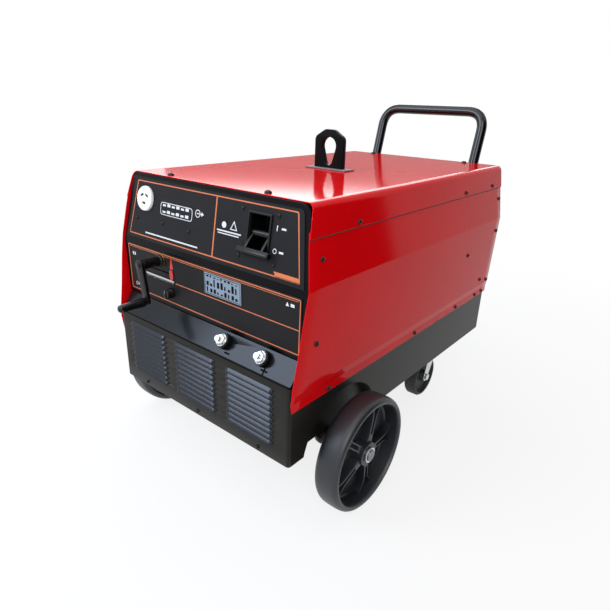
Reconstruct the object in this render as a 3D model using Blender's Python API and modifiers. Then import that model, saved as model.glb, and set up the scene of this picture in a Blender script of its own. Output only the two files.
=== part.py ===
"""Wheeled stick-welding power source: sheet-metal case, crank current control, lifting eye, push handle.

Metres, +Z up, floor at Z = 0, machine front facing -Y.  Every piece hangs from the empty FRAME, whose
own origin is the outer face of the louvred front panel, so that the Y values below are depths behind
that face and the whole machine stands centred on the world origin.
"""
import math

import bmesh
import bpy
from mathutils import Matrix, Vector

# ---- clearances and sheet thicknesses --------------------------------------------------------------
FIT = 0.0003                # gap between pieces that touch
RUNNING = 0.0005            # gap round a turning shaft
CASE_SHEET = 0.002          # red cover and side panels
PANEL_SHEET = 0.0025        # black front, louvre and rear panels
BASE_SHEET = 0.003          # base tray

# ---- case: heights are counted from the tray, which stands over the front axle ---------------------
BASE_HALF_WIDTH = 0.275
BASE_LENGTH = 0.917
WHEEL_RADIUS = 0.130
TRAY_OVER_AXLE = 0.033
BASE_BOTTOM_Z = WHEEL_RADIUS + TRAY_OVER_AXLE
BASE_SKIRT_TOP_Z = BASE_BOTTOM_Z + 0.1425
LOUVRE_TOP_Z = BASE_BOTTOM_Z + 0.1755
FRONT_DEPTH = 0.034                 # lower front panel behind the louvre panel
LEDGE_BACK = (FRONT_DEPTH - 0.0005, BASE_BOTTOM_Z + 0.2192)     # depth and height of the ledge's rear edge
FRONT_BEND_Z = BASE_BOTTOM_Z + 0.347    # where the front panel starts to lean back
FRONT_LEAN = math.radians(9.58)
CASE_TOP_Z = BASE_BOTTOM_Z + 0.506
CASE_REAR = BASE_LENGTH + 0.011         # rear edge of the side panels and top cover
FLANGE_BOTTOM_Z = BASE_BOTTOM_Z + 0.1235
FLANGE_TOP_Z = BASE_BOTTOM_Z + 0.143
JOGGLE_TOP_Z = BASE_BOTTOM_Z + 0.159
SIDE_STEP_Z = BASE_BOTTOM_Z + 0.239     # where the sides' front edge has stepped back to the front panel
JOGGLE_OUT = 0.0027
CREASE_Z = BASE_BOTTOM_Z + 0.359
CREASE_OUT = 0.0097                 # crease beyond the bottom flange
SEAM_Z = BASE_BOTTOM_Z + 0.4475         # lower edge of the top cover's side flange
SEAM_LAP = 0.014
SIDE_LEAN = 0.165                   # sideways run of the upper side for each unit of height
COVER_RADIUS = 0.018
FRAME_RADIUS = 0.022                # top corners of the front panel
FRAME_INSET = 0.003

# ---- louvres --------------------------------------------------------------------------------------
LOUVRE_GROUPS = (0.108 - BASE_HALF_WIDTH, 0.0, BASE_HALF_WIDTH - 0.108)
LOUVRE_ROWS = 10
LOUVRE_WIDTH = 0.122
LOUVRE_SLOT = 0.005
LOUVRE_PITCH = 0.0132
LOUVRE_LOW_Z = BASE_BOTTOM_Z + 0.032

# ---- running gear ---------------------------------------------------------------------------------
WHEEL_WIDTH = 0.057
WHEEL_INNER_X = BASE_HALF_WIDTH + 0.022
AXLE_DEPTH = 0.179
AXLE_RADIUS = 0.0125
HUB_RADIUS = 0.027
ARCH_RADIUS = WHEEL_RADIUS + 0.007
ARCH_RECESS = 0.028
BRACKET_X = BASE_HALF_WIDTH - 0.050
BRACKET_THICK = 0.008
CASTER_X = BASE_HALF_WIDTH - 0.066
CASTER_DEPTH = BASE_LENGTH - 0.202
CASTER_TRAIL = 0.035
CASTER_WHEEL_RADIUS = 0.0625
CASTER_WHEEL_WIDTH = 0.036
CASTER_BOLT_RADIUS = 0.006
FORK_SHEET = 0.004

# ---- lifting eye and push handle ------------------------------------------------------------------
EYE_DEPTH = 0.452
EYE_THICK = 0.012
EYE_WIDTH = 0.088
EYE_TOP_Z = BASE_BOTTOM_Z + 0.601
EYE_SHOULDER_Z = BASE_BOTTOM_Z + 0.584
EYE_HOLE_Z = BASE_BOTTOM_Z + 0.562
EYE_HOLE_RADIUS = 0.021
EYE_SLOT_Z = BASE_BOTTOM_Z + 0.527
EYE_SLOT_RADIUS = 0.011
LIFT_BAR_TOP_Z = BASE_BOTTOM_Z + 0.477
HANDLE_X = 0.172
HANDLE_RADIUS = 0.0145
HANDLE_STANDOFF = 0.0085            # tube surface behind the rear panel
HANDLE_LOW_Z = BASE_BOTTOM_Z + 0.337
HANDLE_KNEE_Z = BASE_BOTTOM_Z + 0.477
HANDLE_TOP_Z = BASE_BOTTOM_Z + 0.6485
HANDLE_LEAN = 0.26
HANDLE_BEND = 0.052

# ---- front controls -------------------------------------------------------------------------------
CRANK_AXIS = (-0.140, BASE_BOTTOM_Z + 0.325)    # X and Z of the crank shaft
CRANK_ARM_END = (0.0155, -0.078)    # grip pin from the shaft, X and Z
CRANK_ARM_FRONT = -0.026
CRANK_ARM_BACK = -0.018
CRANK_REACH = 0.092                 # grip end in front of the louvre panel
SCREW_RADIUS = 0.007
SCREW_END = 0.330
BUSH_RADIUS = 0.012
GRIP_RADIUS = 0.0105
PIN_RADIUS = 0.004
POINTER_X = -0.105
POINTER_TRAVEL = 0.088
POINTER_SLOT_Z = BASE_BOTTOM_Z + 0.2995
SCALE_SPAN = (-0.200, -0.096)
SCALE_Z = (BASE_BOTTOM_Z + 0.2755, BASE_BOTTOM_Z + 0.286)
KNOB_AXIS = (-0.110, BASE_BOTTOM_Z + 0.255)
KNOB_RADIUS = 0.012
KNOB_HEIGHT = 0.016
WINDOW_SPAN = (0.008, 0.117)
WINDOW_Z = (BASE_BOTTOM_Z + 0.288, BASE_BOTTOM_Z + 0.334)
NAMEPLATE = 0.0012
SWITCH_X = 0.1505
SWITCH_UP = 0.089                   # pivot above the front panel's bend, along the slope
SWITCH_IN = 0.010                   # pivot behind the panel face
SWITCH_OPENING = (0.052, 0.072)
BEZEL_RIM = 0.004
BEZEL_THICK = 0.003
SWITCH_BODY_DEPTH = 0.044
LEVER_REACH = 0.040
LEVER_REST = math.radians(56.9)     # below the panel's outward normal
LEVER_ARM = 0.006
LEVER_BAR_WIDTH = 0.082
LEVER_BAR_RADIUS = 0.006
OUTLET_X = -0.204
OUTLET_UP = 0.1055
OUTLET_RADIUS = 0.030
OUTLET_BODY_RADIUS = 0.022
STUD_XS = {"negative": 0.080, "positive": 0.190}
STUD_UP = 0.030                     # stud above the ledge's front edge, along the slope
STUD_RADIUS = 0.006
INSULATOR_RADIUS = 0.017
INSULATOR_BODY_RADIUS = 0.011
INSULATOR_HEIGHT = 0.012
NUT_HEIGHT = 0.010

# ---- inside ---------------------------------------------------------------------------------------
CORE_X = 0.150                      # half width of the transformer core
CORE_DEPTHS = (0.290, 0.390)
CORE_HEIGHT = 0.250
CORE_LIMB = 0.050
COIL_BUILD = 0.028
CHOKE_DEPTHS = (0.520, 0.600)
CHOKE_HEIGHT = 0.130
MOVING_CORE_DEPTH = 0.205           # arm and nut of the moving core, wound fully out
FAN_AXIS_Z = BASE_BOTTOM_Z + 0.257
FAN_RADIUS = 0.118
FAN_DEPTH = BASE_LENGTH - 0.047
FAN_OPENING = 0.125
MOTOR_DEPTHS = (FAN_DEPTH - 0.110, FAN_DEPTH - 0.035)
GLAND_AXIS = (-0.170, BASE_BOTTOM_Z + 0.077)
GLAND_RADIUS = 0.020

# ---- values that follow ---------------------------------------------------------------------------
HANDLE_DEPTH = BASE_LENGTH + HANDLE_STANDOFF + HANDLE_RADIUS
HANDLE_TOP_DEPTH = HANDLE_DEPTH + HANDLE_LEAN * (HANDLE_TOP_Z - HANDLE_KNEE_Z)
REAR_REACH = HANDLE_TOP_DEPTH + HANDLE_RADIUS
FRAME_Y = (CRANK_REACH - REAR_REACH) / 2
FLOOR_TOP_Z = BASE_BOTTOM_Z + BASE_SHEET
SIDE_FLANGE_X = BASE_HALF_WIDTH + FIT + CASE_SHEET
COVER_STEP = CASE_SHEET + FIT       # top cover outside the side panel
COVER_TOP_INNER_Z = CASE_TOP_Z - CASE_SHEET
REAR_INNER = BASE_LENGTH - PANEL_SHEET
NAMEPLATE_FACE = NAMEPLATE + FIT    # nameplate's face in front of the panel

COLLECTION = "stick_welding_power_source"


def side_x(z):
    """Half width over the red side panels' outer face at height z."""
    crease_x = SIDE_FLANGE_X + CREASE_OUT
    joggle_x = SIDE_FLANGE_X + JOGGLE_OUT
    if z >= CREASE_Z:
        return crease_x - SIDE_LEAN * (z - CREASE_Z)
    if z >= JOGGLE_TOP_Z:
        return joggle_x + (crease_x - joggle_x) * (z - JOGGLE_TOP_Z) / (CREASE_Z - JOGGLE_TOP_Z)
    if z >= FLANGE_TOP_Z:
        return SIDE_FLANGE_X + JOGGLE_OUT * (z - FLANGE_TOP_Z) / (JOGGLE_TOP_Z - FLANGE_TOP_Z)
    return SIDE_FLANGE_X


def front_y(z):
    """Depth of the front panel's face at height z."""
    return FRONT_DEPTH + max(0.0, z - FRONT_BEND_Z) * math.tan(FRONT_LEAN)


# ---- building blocks ------------------------------------------------------------------------------
def clear_scene():
    for old in list(bpy.data.objects):
        bpy.data.objects.remove(old, do_unlink=True)


def new_collection(name):
    collection = bpy.data.collections.new(name)
    bpy.context.scene.collection.children.link(collection)
    return collection


def new_frame(name, location, tilt=0.0, parent=None):
    """Empty that carries pieces on one face: local X along it, Z up it and Y into it."""
    frame = bpy.data.objects.new(name, None)
    frame.location = location
    frame.rotation_euler = (tilt, 0.0, 0.0)
    frame.parent = parent
    PARTS.objects.link(frame)
    return frame


def material(name, colour, roughness, metallic=0.0):
    made = bpy.data.materials.new(name)
    made.use_nodes = True
    shader = made.node_tree.nodes["Principled BSDF"]
    shader.inputs["Base Color"].default_value = (*colour, 1.0)
    shader.inputs["Roughness"].default_value = roughness
    shader.inputs["Metallic"].default_value = metallic
    return made


def add_box(bm, low, high):
    low, high = Vector(low), Vector(high)
    centre = Matrix.Translation((low + high) / 2)
    size = Matrix.Diagonal((*(high - low), 1.0))
    bmesh.ops.create_cube(bm, size=1.0, matrix=centre @ size)


def add_cylinder(bm, start, axis, length, radius, sides=24):
    """Solid cylinder or cone from the point start along X, Y or Z; a negative length runs the other way."""
    turn = {"X": Matrix.Rotation(math.pi / 2, 4, "Y"),
            "Y": Matrix.Rotation(-math.pi / 2, 4, "X"),
            "Z": Matrix.Identity(4)}[axis]
    middle = Matrix.Translation((0.0, 0.0, length / 2))
    bmesh.ops.create_cone(bm, cap_ends=True, segments=sides, radius1=radius, radius2=radius,
                          depth=abs(length), matrix=Matrix.Translation(start) @ turn @ middle)


def add_strip(bm, rows):
    """Open sheet through rows of equally many points."""
    made = [[bm.verts.new(point) for point in row] for row in rows]
    for lower, upper in zip(made, made[1:]):
        for i in range(len(lower) - 1):
            bm.faces.new((lower[i], lower[i + 1], upper[i + 1], upper[i]))


def finish_object(name, mesh, look, origin=(0.0, 0.0, 0.0), parent=None):
    obj = bpy.data.objects.new(name, mesh)
    obj.location = origin
    obj.parent = parent or FRAME
    if look is None:
        obj.hide_render = True
        obj.display_type = "WIRE"
        CUTTERS.objects.link(obj)
    else:
        mesh.materials.append(look)
        PARTS.objects.link(obj)
    return obj


def solid(name, build, look, origin=(0.0, 0.0, 0.0), parent=None):
    """Object whose mesh build(bm) makes round its own origin; look None makes a cutter."""
    bm = bmesh.new()
    build(bm)
    mesh = bpy.data.meshes.new(name)
    bm.to_mesh(mesh)
    bm.free()
    mesh.shade_smooth()
    mesh.set_sharp_from_angle(angle=math.radians(32))
    return finish_object(name, mesh, look, origin, parent)


def sheet(name, rows, thickness, look, parent=None):
    """Folded sheet: its outer face through rows of points, thickness towards the inside."""
    obj = solid(name, lambda bm: add_strip(bm, rows), look, parent=parent)
    shell = obj.modifiers.new("sheet", "SOLIDIFY")
    shell.thickness = thickness
    shell.offset = -1.0
    shell.use_even_offset = True
    return obj


def turned(name, profile, look, origin, axis="Y", flip=False, closed=False, steps=32, parent=None):
    """Turned piece from (radius, height) points that run down its outer side."""
    mesh = bpy.data.meshes.new(name)
    edges = [(i, i + 1) for i in range(len(profile) - 1)]
    if closed:
        edges.append((len(profile) - 1, 0))
    mesh.from_pydata([(radius, 0.0, height) for radius, height in profile], edges, [])
    obj = finish_object(name, mesh, look, origin, parent)
    quarter = -math.pi / 2 if flip else math.pi / 2
    turn = {"X": (0.0, quarter, 0.0), "Y": (-quarter, 0.0, 0.0), "Z": (0.0, 0.0, 0.0)}
    obj.rotation_euler = turn[axis]
    screw = obj.modifiers.new("turned", "SCREW")
    screw.axis = "Z"
    screw.steps = steps
    screw.render_steps = steps
    screw.use_merge_vertices = True
    screw.merge_threshold = 0.00005
    screw.use_smooth_shade = True
    return obj


def ring(bore, radius, low, high):
    """Closed profile of a plain ring for turned()."""
    return [(bore, high), (radius, high), (radius, low), (bore, low)]


def combine(target, other, operation="DIFFERENCE"):
    """Boolean of two objects; the other one becomes a hidden guide."""
    step = target.modifiers.new(operation.lower(), "BOOLEAN")
    step.operation = operation
    step.object = other
    return target


def cut(target, *builds, parent=None):
    """Cut shapes out of target, each given by its own build(bm)."""
    for number, build in enumerate(builds):
        combine(target, solid(f"{target.name}_cutter_{number}", build, None, parent=parent))


def outline_mesh(name, loops, thickness, resolution=8):
    """Mesh of a flat outline with holes, in X and Y, thickness along Z about zero.

    A loop is a list of (x, y) corners; the first loop is the outline, the others are holes.
    """
    curve = bpy.data.curves.new(name, "CURVE")
    curve.dimensions = "2D"
    curve.fill_mode = "BOTH"
    curve.extrude = thickness / 2
    curve.resolution_u = resolution
    for loop in loops:
        spline = curve.splines.new("POLY")
        spline.points.add(len(loop) - 1)
        for point, (x, y) in zip(spline.points, loop):
            point.co = (x, y, 0.0, 1.0)
        spline.use_cyclic_u = True
    holder = bpy.data.objects.new(name, curve)
    PARTS.objects.link(holder)
    graph = bpy.context.evaluated_depsgraph_get()
    mesh = bpy.data.meshes.new_from_object(holder.evaluated_get(graph))
    bpy.data.objects.remove(holder, do_unlink=True)
    bm = bmesh.new()
    bm.from_mesh(mesh)
    bmesh.ops.remove_doubles(bm, verts=bm.verts, dist=0.00001)
    bmesh.ops.recalc_face_normals(bm, faces=bm.faces)
    bm.to_mesh(mesh)
    bm.free()
    return mesh


def arc(centre, radius, start, end, count):
    """Points on an arc, angles in degrees."""
    steps = [math.radians(start + (end - start) * i / count) for i in range(count + 1)]
    return [(centre[0] + radius * math.cos(a), centre[1] + radius * math.sin(a)) for a in steps]


def plate(name, loops, thickness, look, origin, stand="XZ", parent=None):
    """Flat plate standing in the XZ or YZ plane, or lying in XY."""
    mesh = outline_mesh(name, loops, thickness)
    turn = {"XY": Matrix.Identity(4),
            "XZ": Matrix.Rotation(math.pi / 2, 4, "X"),
            "YZ": Matrix(((0, 0, 1, 0), (1, 0, 0, 0), (0, 1, 0, 0), (0, 0, 0, 1)))}[stand]
    mesh.transform(turn)
    return finish_object(name, mesh, look, origin, parent)


# ---- base, wheels and casters ---------------------------------------------------------------------
def arch_outline(radius, low_z):
    """Wheel arch round the axle, closed along the height low_z."""
    drop = low_z - WHEEL_RADIUS
    lift = math.degrees(math.asin(drop / radius))
    return arc((AXLE_DEPTH, WHEEL_RADIUS), radius, lift, 180.0 - lift, 20)


def make_base():
    rows = []
    for depth in (REAR_INNER - FIT, PANEL_SHEET + FIT):
        rows.append([(-BASE_HALF_WIDTH, depth, BASE_SKIRT_TOP_Z), (-BASE_HALF_WIDTH, depth, BASE_BOTTOM_Z),
                     (BASE_HALF_WIDTH, depth, BASE_BOTTOM_Z), (BASE_HALF_WIDTH, depth, BASE_SKIRT_TOP_Z)])
    tray = sheet("base_tray", rows, BASE_SHEET, BLACK_PAINT)
    for side in (-1, 1):
        inner_x = BASE_HALF_WIDTH - ARCH_RECESS
        well_x = side * (inner_x + BASE_HALF_WIDTH - BASE_SHEET / 2) / 2
        well = plate(f"wheel_well_{side}", [arch_outline(ARCH_RADIUS + BASE_SHEET, BASE_BOTTOM_Z + BASE_SHEET / 2)],
                     ARCH_RECESS - BASE_SHEET / 2, None, (well_x, 0.0, 0.0), "YZ")
        combine(tray, well, "UNION")
    for side in (-1, 1):
        recess_x = side * (BASE_HALF_WIDTH - ARCH_RECESS + BASE_SHEET + BASE_HALF_WIDTH + 0.010) / 2
        recess = plate(f"wheel_recess_{side}", [arch_outline(ARCH_RADIUS, BASE_BOTTOM_Z - 0.010)],
                       ARCH_RECESS - BASE_SHEET + 0.010, None, (recess_x, 0.0, 0.0), "YZ")
        combine(tray, recess)


def wheel_profile():
    """Half section of the front wheel, closed; height 0 is its inner face."""
    tread = 0.014
    dish = WHEEL_RADIUS - tread
    crown = 0.006
    return [(AXLE_RADIUS + RUNNING, WHEEL_WIDTH - 0.008), (HUB_RADIUS, WHEEL_WIDTH - 0.008), (HUB_RADIUS, 0.022),
            (dish, 0.016), (dish, WHEEL_WIDTH - 0.003), (WHEEL_RADIUS - crown, WHEEL_WIDTH),
            (WHEEL_RADIUS, WHEEL_WIDTH - 0.010), (WHEEL_RADIUS, 0.010), (WHEEL_RADIUS - crown, 0.0),
            (dish, 0.002), (dish - 0.002, 0.008), (HUB_RADIUS, 0.012), (HUB_RADIUS, 0.0),
            (AXLE_RADIUS + RUNNING, 0.0)]


def make_running_gear():
    axle_half = WHEEL_INNER_X + WHEEL_WIDTH
    solid("front_axle", lambda bm: add_cylinder(bm, (-axle_half, 0, 0), "X", 2 * axle_half, AXLE_RADIUS),
          ZINC, (0.0, AXLE_DEPTH, WHEEL_RADIUS))
    for name, side in (("left", -1), ("right", 1)):
        turned(f"front_wheel_{name}", wheel_profile(), WHEEL_PLASTIC,
               (side * WHEEL_INNER_X, AXLE_DEPTH, WHEEL_RADIUS), "X", flip=side < 0, closed=True, steps=40)
        nut_low = WHEEL_WIDTH - 0.008 + FIT
        turned(f"axle_nut_{name}", ring(AXLE_RADIUS + FIT, AXLE_RADIUS + 0.005, nut_low, nut_low + 0.005), ZINC,
               (side * WHEEL_INNER_X, AXLE_DEPTH, WHEEL_RADIUS), "X", flip=side < 0, closed=True, steps=24)
        make_axle_bracket(name, side)
        make_caster(name, side)


def make_axle_bracket(name, side):
    """Hanger under the tray, with a welded tube that carries the axle out to the wheel."""
    top = BASE_BOTTOM_Z - FIT - WHEEL_RADIUS
    half = 0.045
    foot = AXLE_RADIUS + 0.012
    corners = [(-half, top), (-foot, -foot * 0.5), (-foot * 0.6, -foot), (foot * 0.6, -foot), (foot, -foot * 0.5),
               (half, top)]
    bracket = plate(f"axle_bracket_{name}", [corners], BRACKET_THICK, BLACK_PAINT,
                    (side * BRACKET_X, AXLE_DEPTH, WHEEL_RADIUS), "YZ")
    boss = solid(f"axle_tube_{name}",
                 lambda bm: add_cylinder(bm, (0, 0, 0), "X", side * (WHEEL_INNER_X - FIT - BRACKET_X),
                                         AXLE_RADIUS + 0.006), None, (side * BRACKET_X, AXLE_DEPTH, WHEEL_RADIUS))
    combine(bracket, boss, "UNION")
    cut(bracket, lambda bm: add_cylinder(bm, (-0.5, AXLE_DEPTH, WHEEL_RADIUS), "X", 1.0, AXLE_RADIUS + FIT))


def make_caster(name, side):
    x = side * CASTER_X
    plate_top = BASE_BOTTOM_Z - FIT
    plate_low = plate_top - FORK_SHEET
    fork_top = plate_low - 0.007
    pin_radius = 0.006
    head = 0.010
    make_caster_plate(name, x, plate_top, plate_low, fork_top, pin_radius, head)
    gap = CASTER_WHEEL_WIDTH / 2 + RUNNING
    hub_y = -CASTER_TRAIL
    hub_z = CASTER_WHEEL_RADIUS

    def crown(bm):
        add_box(bm, (-gap - FORK_SHEET, -0.026, fork_top - FORK_SHEET), (gap + FORK_SHEET, 0.026, fork_top))

    fork = solid(f"caster_fork_{name}", crown, ZINC, (x, CASTER_DEPTH, 0.0))
    boss = 0.014
    top = fork_top - FORK_SHEET / 2
    leg = [(-0.026, top), *arc((hub_y, hub_z), boss, 160, 380, 10), (0.026, top)]
    for hand in (-1, 1):
        guide = plate(f"caster_leg_{name}_{hand}", [leg], FORK_SHEET, None,
                      (x + hand * (gap + FORK_SHEET / 2), CASTER_DEPTH, 0.0), "YZ")
        combine(fork, guide, "UNION")
    cut(fork,
        lambda bm: add_cylinder(bm, (x, CASTER_DEPTH, plate_low - 0.05), "Z", 0.1, pin_radius + RUNNING),
        lambda bm: add_cylinder(bm, (x - 0.1, CASTER_DEPTH + hub_y, hub_z), "X", 0.2, CASTER_BOLT_RADIUS + FIT))
    rim = CASTER_WHEEL_RADIUS - 0.012
    half = CASTER_WHEEL_WIDTH / 2
    profile = [(CASTER_BOLT_RADIUS + RUNNING, half), (0.016, half), (0.018, half - 0.010), (rim, half - 0.010),
               (rim + 0.003, half), (CASTER_WHEEL_RADIUS - 0.004, half), (CASTER_WHEEL_RADIUS, half - 0.005),
               (CASTER_WHEEL_RADIUS, 0.005 - half), (CASTER_WHEEL_RADIUS - 0.004, -half), (rim + 0.003, -half),
               (rim, 0.010 - half), (0.018, 0.010 - half), (0.016, -half), (CASTER_BOLT_RADIUS + RUNNING, -half)]
    turned(f"caster_wheel_{name}", profile, TYRE, (x, CASTER_DEPTH + hub_y, hub_z), "X", closed=True, steps=28)
    bolt_half = gap + FORK_SHEET + FIT
    bolt = [(0.0, bolt_half + 0.005), (0.010, bolt_half + 0.005), (0.010, bolt_half),
            (CASTER_BOLT_RADIUS, bolt_half), (CASTER_BOLT_RADIUS, -bolt_half), (0.010, -bolt_half),
            (0.010, -bolt_half - 0.005), (0.0, -bolt_half - 0.005)]
    turned(f"caster_bolt_{name}", bolt, ZINC, (x, CASTER_DEPTH + hub_y, hub_z), "X", steps=12)


def make_caster_plate(name, x, plate_top, plate_low, fork_top, pin_radius, head):
    """Top plate with its bearing boss, and the king pin whose head holds the fork up."""
    top_plate = solid(f"caster_plate_{name}",
                      lambda bm: add_box(bm, (-0.040, -0.050, plate_low), (0.040, 0.050, plate_top)),
                      ZINC, (x, CASTER_DEPTH, 0.0))
    pin_low = fork_top - FORK_SHEET - FIT
    profile = [(0.0, plate_low + 0.002), (0.018, plate_low + 0.002), (0.018, fork_top + FIT),
               (pin_radius, fork_top + FIT), (pin_radius, pin_low), (head, pin_low), (head, pin_low - 0.004),
               (0.0, pin_low - 0.004)]
    pin = turned(f"king_pin_{name}", profile, None, (x, CASTER_DEPTH, 0.0), "Z", steps=20)
    combine(top_plate, pin, "UNION")


# ---- case panels ----------------------------------------------------------------------------------
def make_louvre_panel():
    panel = solid("louvre_panel",
                  lambda bm: add_box(bm, (-BASE_HALF_WIDTH, 0.0, BASE_BOTTOM_Z),
                                     (BASE_HALF_WIDTH, PANEL_SHEET, LOUVRE_TOP_Z)), BLACK_PAINT)

    def slots(bm):
        for group_x in LOUVRE_GROUPS:
            for row in range(LOUVRE_ROWS):
                low = LOUVRE_LOW_Z + row * LOUVRE_PITCH
                add_box(bm, (group_x - LOUVRE_WIDTH / 2, -0.002, low),
                        (group_x + LOUVRE_WIDTH / 2, PANEL_SHEET + 0.002, low + LOUVRE_SLOT))

    cut(panel, slots)


def make_output_ledge():
    half = BASE_HALF_WIDTH + 0.001
    back_y, back_z = LEDGE_BACK
    face = PANEL_SHEET + FIT
    profile = [(face, LOUVRE_TOP_Z - 0.027), (face, LOUVRE_TOP_Z + 0.002), (back_y, back_z)]
    ledge = sheet("output_ledge", [[(-half, y, z), (half, y, z)] for y, z in profile], CASE_SHEET, LEDGE_PAINT)

    def stud_holes(bm):
        for x in STUD_XS.values():
            add_cylinder(bm, (x, -0.02, STUD_UP), "Y", 0.04, INSULATOR_BODY_RADIUS + FIT)

    cut(ledge, stud_holes, parent=LEDGE_FRAME)


def rounded_rows(low_z, high_z, inset, radius, count=4):
    """Half width and height up a front plate whose top corners are rounded."""
    rows = [(side_x(low_z) - inset, low_z)]
    if low_z < FRONT_BEND_Z < high_z:
        rows.append((side_x(FRONT_BEND_Z) - inset, FRONT_BEND_Z))
    for i in range(count + 1):
        turn = math.pi / 2 * i / count
        z = high_z - radius + radius * math.sin(turn)
        rows.append((side_x(z) - inset - radius * (1 - math.cos(turn)), z))
    return rows


def make_front_panel():
    low_z = LEDGE_BACK[1] + 2 * FIT
    rows = rounded_rows(low_z, COVER_TOP_INNER_Z, FRAME_INSET, FRAME_RADIUS)
    panel = sheet("front_panel", [[(-w, front_y(z), z), (w, front_y(z), z)] for w, z in rows], PANEL_SHEET,
                  BLACK_PAINT)
    cut_front_holes(panel)
    upper_low = FRONT_BEND_Z + 0.0125
    rows = rounded_rows(upper_low, CASE_TOP_Z - 0.012, FRAME_INSET + 0.012, 0.008, 2)
    upper = sheet("upper_nameplate", plate_rows(rows), NAMEPLATE, NAMEPLATE_BLACK)
    cut_front_holes(upper)
    half = side_x(LEDGE_BACK[1]) - FRAME_INSET - 0.009
    rows = [(half, LEDGE_BACK[1] + 0.008), (half, FRONT_BEND_Z - 0.003)]
    lower = sheet("lower_nameplate", plate_rows(rows), NAMEPLATE, NAMEPLATE_BLACK)
    cut_front_holes(lower)


def plate_rows(rows):
    return [[(-w, front_y(z) - NAMEPLATE_FACE, z), (w, front_y(z) - NAMEPLATE_FACE, z)] for w, z in rows]


def cut_front_holes(target):
    """Openings that the controls need through the front panel and its nameplates."""
    deep = 0.02

    def upper_holes(bm):
        add_cylinder(bm, (OUTLET_X, -deep, OUTLET_UP), "Y", 2 * deep, OUTLET_BODY_RADIUS + FIT)
        wide, high = SWITCH_OPENING
        add_box(bm, (SWITCH_X - wide / 2, -deep, SWITCH_UP - high / 2),
                (SWITCH_X + wide / 2, deep, SWITCH_UP + high / 2))

    def lower_holes(bm):
        add_cylinder(bm, (CRANK_AXIS[0], -deep, CRANK_AXIS[1]), "Y", 4 * deep, BUSH_RADIUS + FIT)
        add_cylinder(bm, (KNOB_AXIS[0], -deep, KNOB_AXIS[1]), "Y", 4 * deep, PIN_RADIUS + FIT, 12)
        reach = PIN_RADIUS / 2 + 0.001
        add_box(bm, (POINTER_X - POINTER_TRAVEL - reach, -deep, POINTER_SLOT_Z - reach / 2),
                (POINTER_X + reach, 3 * deep, POINTER_SLOT_Z + reach / 2))

    if target.name != "lower_nameplate":
        cut(target, upper_holes, parent=UPPER_FRAME)
    if target.name != "upper_nameplate":
        holes = solid(f"{target.name}_lower_holes", lower_holes, None)
        combine(target, holes)


def make_side_panels():
    """Red sides: bottom flange, joggle, crease, and a lap under the top cover."""
    heights = [FLANGE_BOTTOM_Z, FLANGE_TOP_Z, JOGGLE_TOP_Z, SIDE_STEP_Z, CREASE_Z, SEAM_Z + SEAM_LAP]
    depths = {FLANGE_BOTTOM_Z: 0.0, FLANGE_TOP_Z: 0.001, JOGGLE_TOP_Z: 0.002, SIDE_STEP_Z: FRONT_DEPTH - 0.013}
    for name, side in (("left", -1), ("right", 1)):
        rows = []
        for z in heights:
            near = depths.get(z, front_y(z) + PANEL_SHEET + 2 * FIT)
            row = [(side * side_x(z), near, z), (side * side_x(z), CASE_REAR, z)]
            rows.append(row[::side])
        sheet(f"side_panel_{name}", rows, CASE_SHEET, RED_PAINT)


def make_top_cover():
    """Red roof: side flanges that lap the side panels, rounded long edges, slot for the lifting eye."""
    flange_top_z = CASE_TOP_Z - COVER_RADIUS
    lean = math.atan(SIDE_LEAN)
    right = [(side_x(SEAM_Z) + COVER_STEP, SEAM_Z)]
    edge_x = side_x(flange_top_z) + COVER_STEP - COVER_RADIUS * math.cos(lean)
    for i in range(7):
        turn = lean + (math.pi / 2 - lean) * i / 6
        right.append((edge_x + COVER_RADIUS * math.cos(turn), flange_top_z + COVER_RADIUS * math.sin(turn)))
    profile = right + [(-x, z) for x, z in reversed(right)]
    near = front_y(COVER_TOP_INNER_Z) + PANEL_SHEET + 2 * FIT
    rows = [[(x, near, z), (x, CASE_REAR, z)] for x, z in profile]
    cover = sheet("top_cover", rows, CASE_SHEET, RED_PAINT)
    half = EYE_WIDTH / 2 + FIT
    thick = EYE_THICK / 2 + FIT
    cut(cover, lambda bm: add_box(bm, (-half, EYE_DEPTH - thick, CASE_TOP_Z - 0.03),
                                  (half, EYE_DEPTH + thick, CASE_TOP_Z + 0.03)))


def make_rear_panel():
    """Black rear plate inside the red case, with the fan opening and the cable gland's hole."""
    inset = CASE_SHEET + FIT
    right = [(BASE_HALF_WIDTH, BASE_BOTTOM_Z), (BASE_HALF_WIDTH, FLANGE_TOP_Z)]
    right += [(side_x(z) - inset, z) for z in (JOGGLE_TOP_Z, CREASE_Z, COVER_TOP_INNER_Z - COVER_RADIUS)]
    right += [(side_x(CASE_TOP_Z) - inset - COVER_RADIUS, COVER_TOP_INNER_Z - FIT)]
    outline = right + [(-x, z) for x, z in reversed(right)]
    panel = plate("rear_panel", [outline], PANEL_SHEET, BLACK_PAINT, (0.0, BASE_LENGTH - PANEL_SHEET / 2, 0.0))
    cut(panel,
        lambda bm: add_cylinder(bm, (0.0, REAR_INNER - 0.05, FAN_AXIS_Z), "Y", 0.1, FAN_OPENING, 40),
        lambda bm: add_cylinder(bm, (GLAND_AXIS[0], REAR_INNER - 0.05, GLAND_AXIS[1]), "Y", 0.1,
                                GLAND_RADIUS * 0.6 + FIT))


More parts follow.
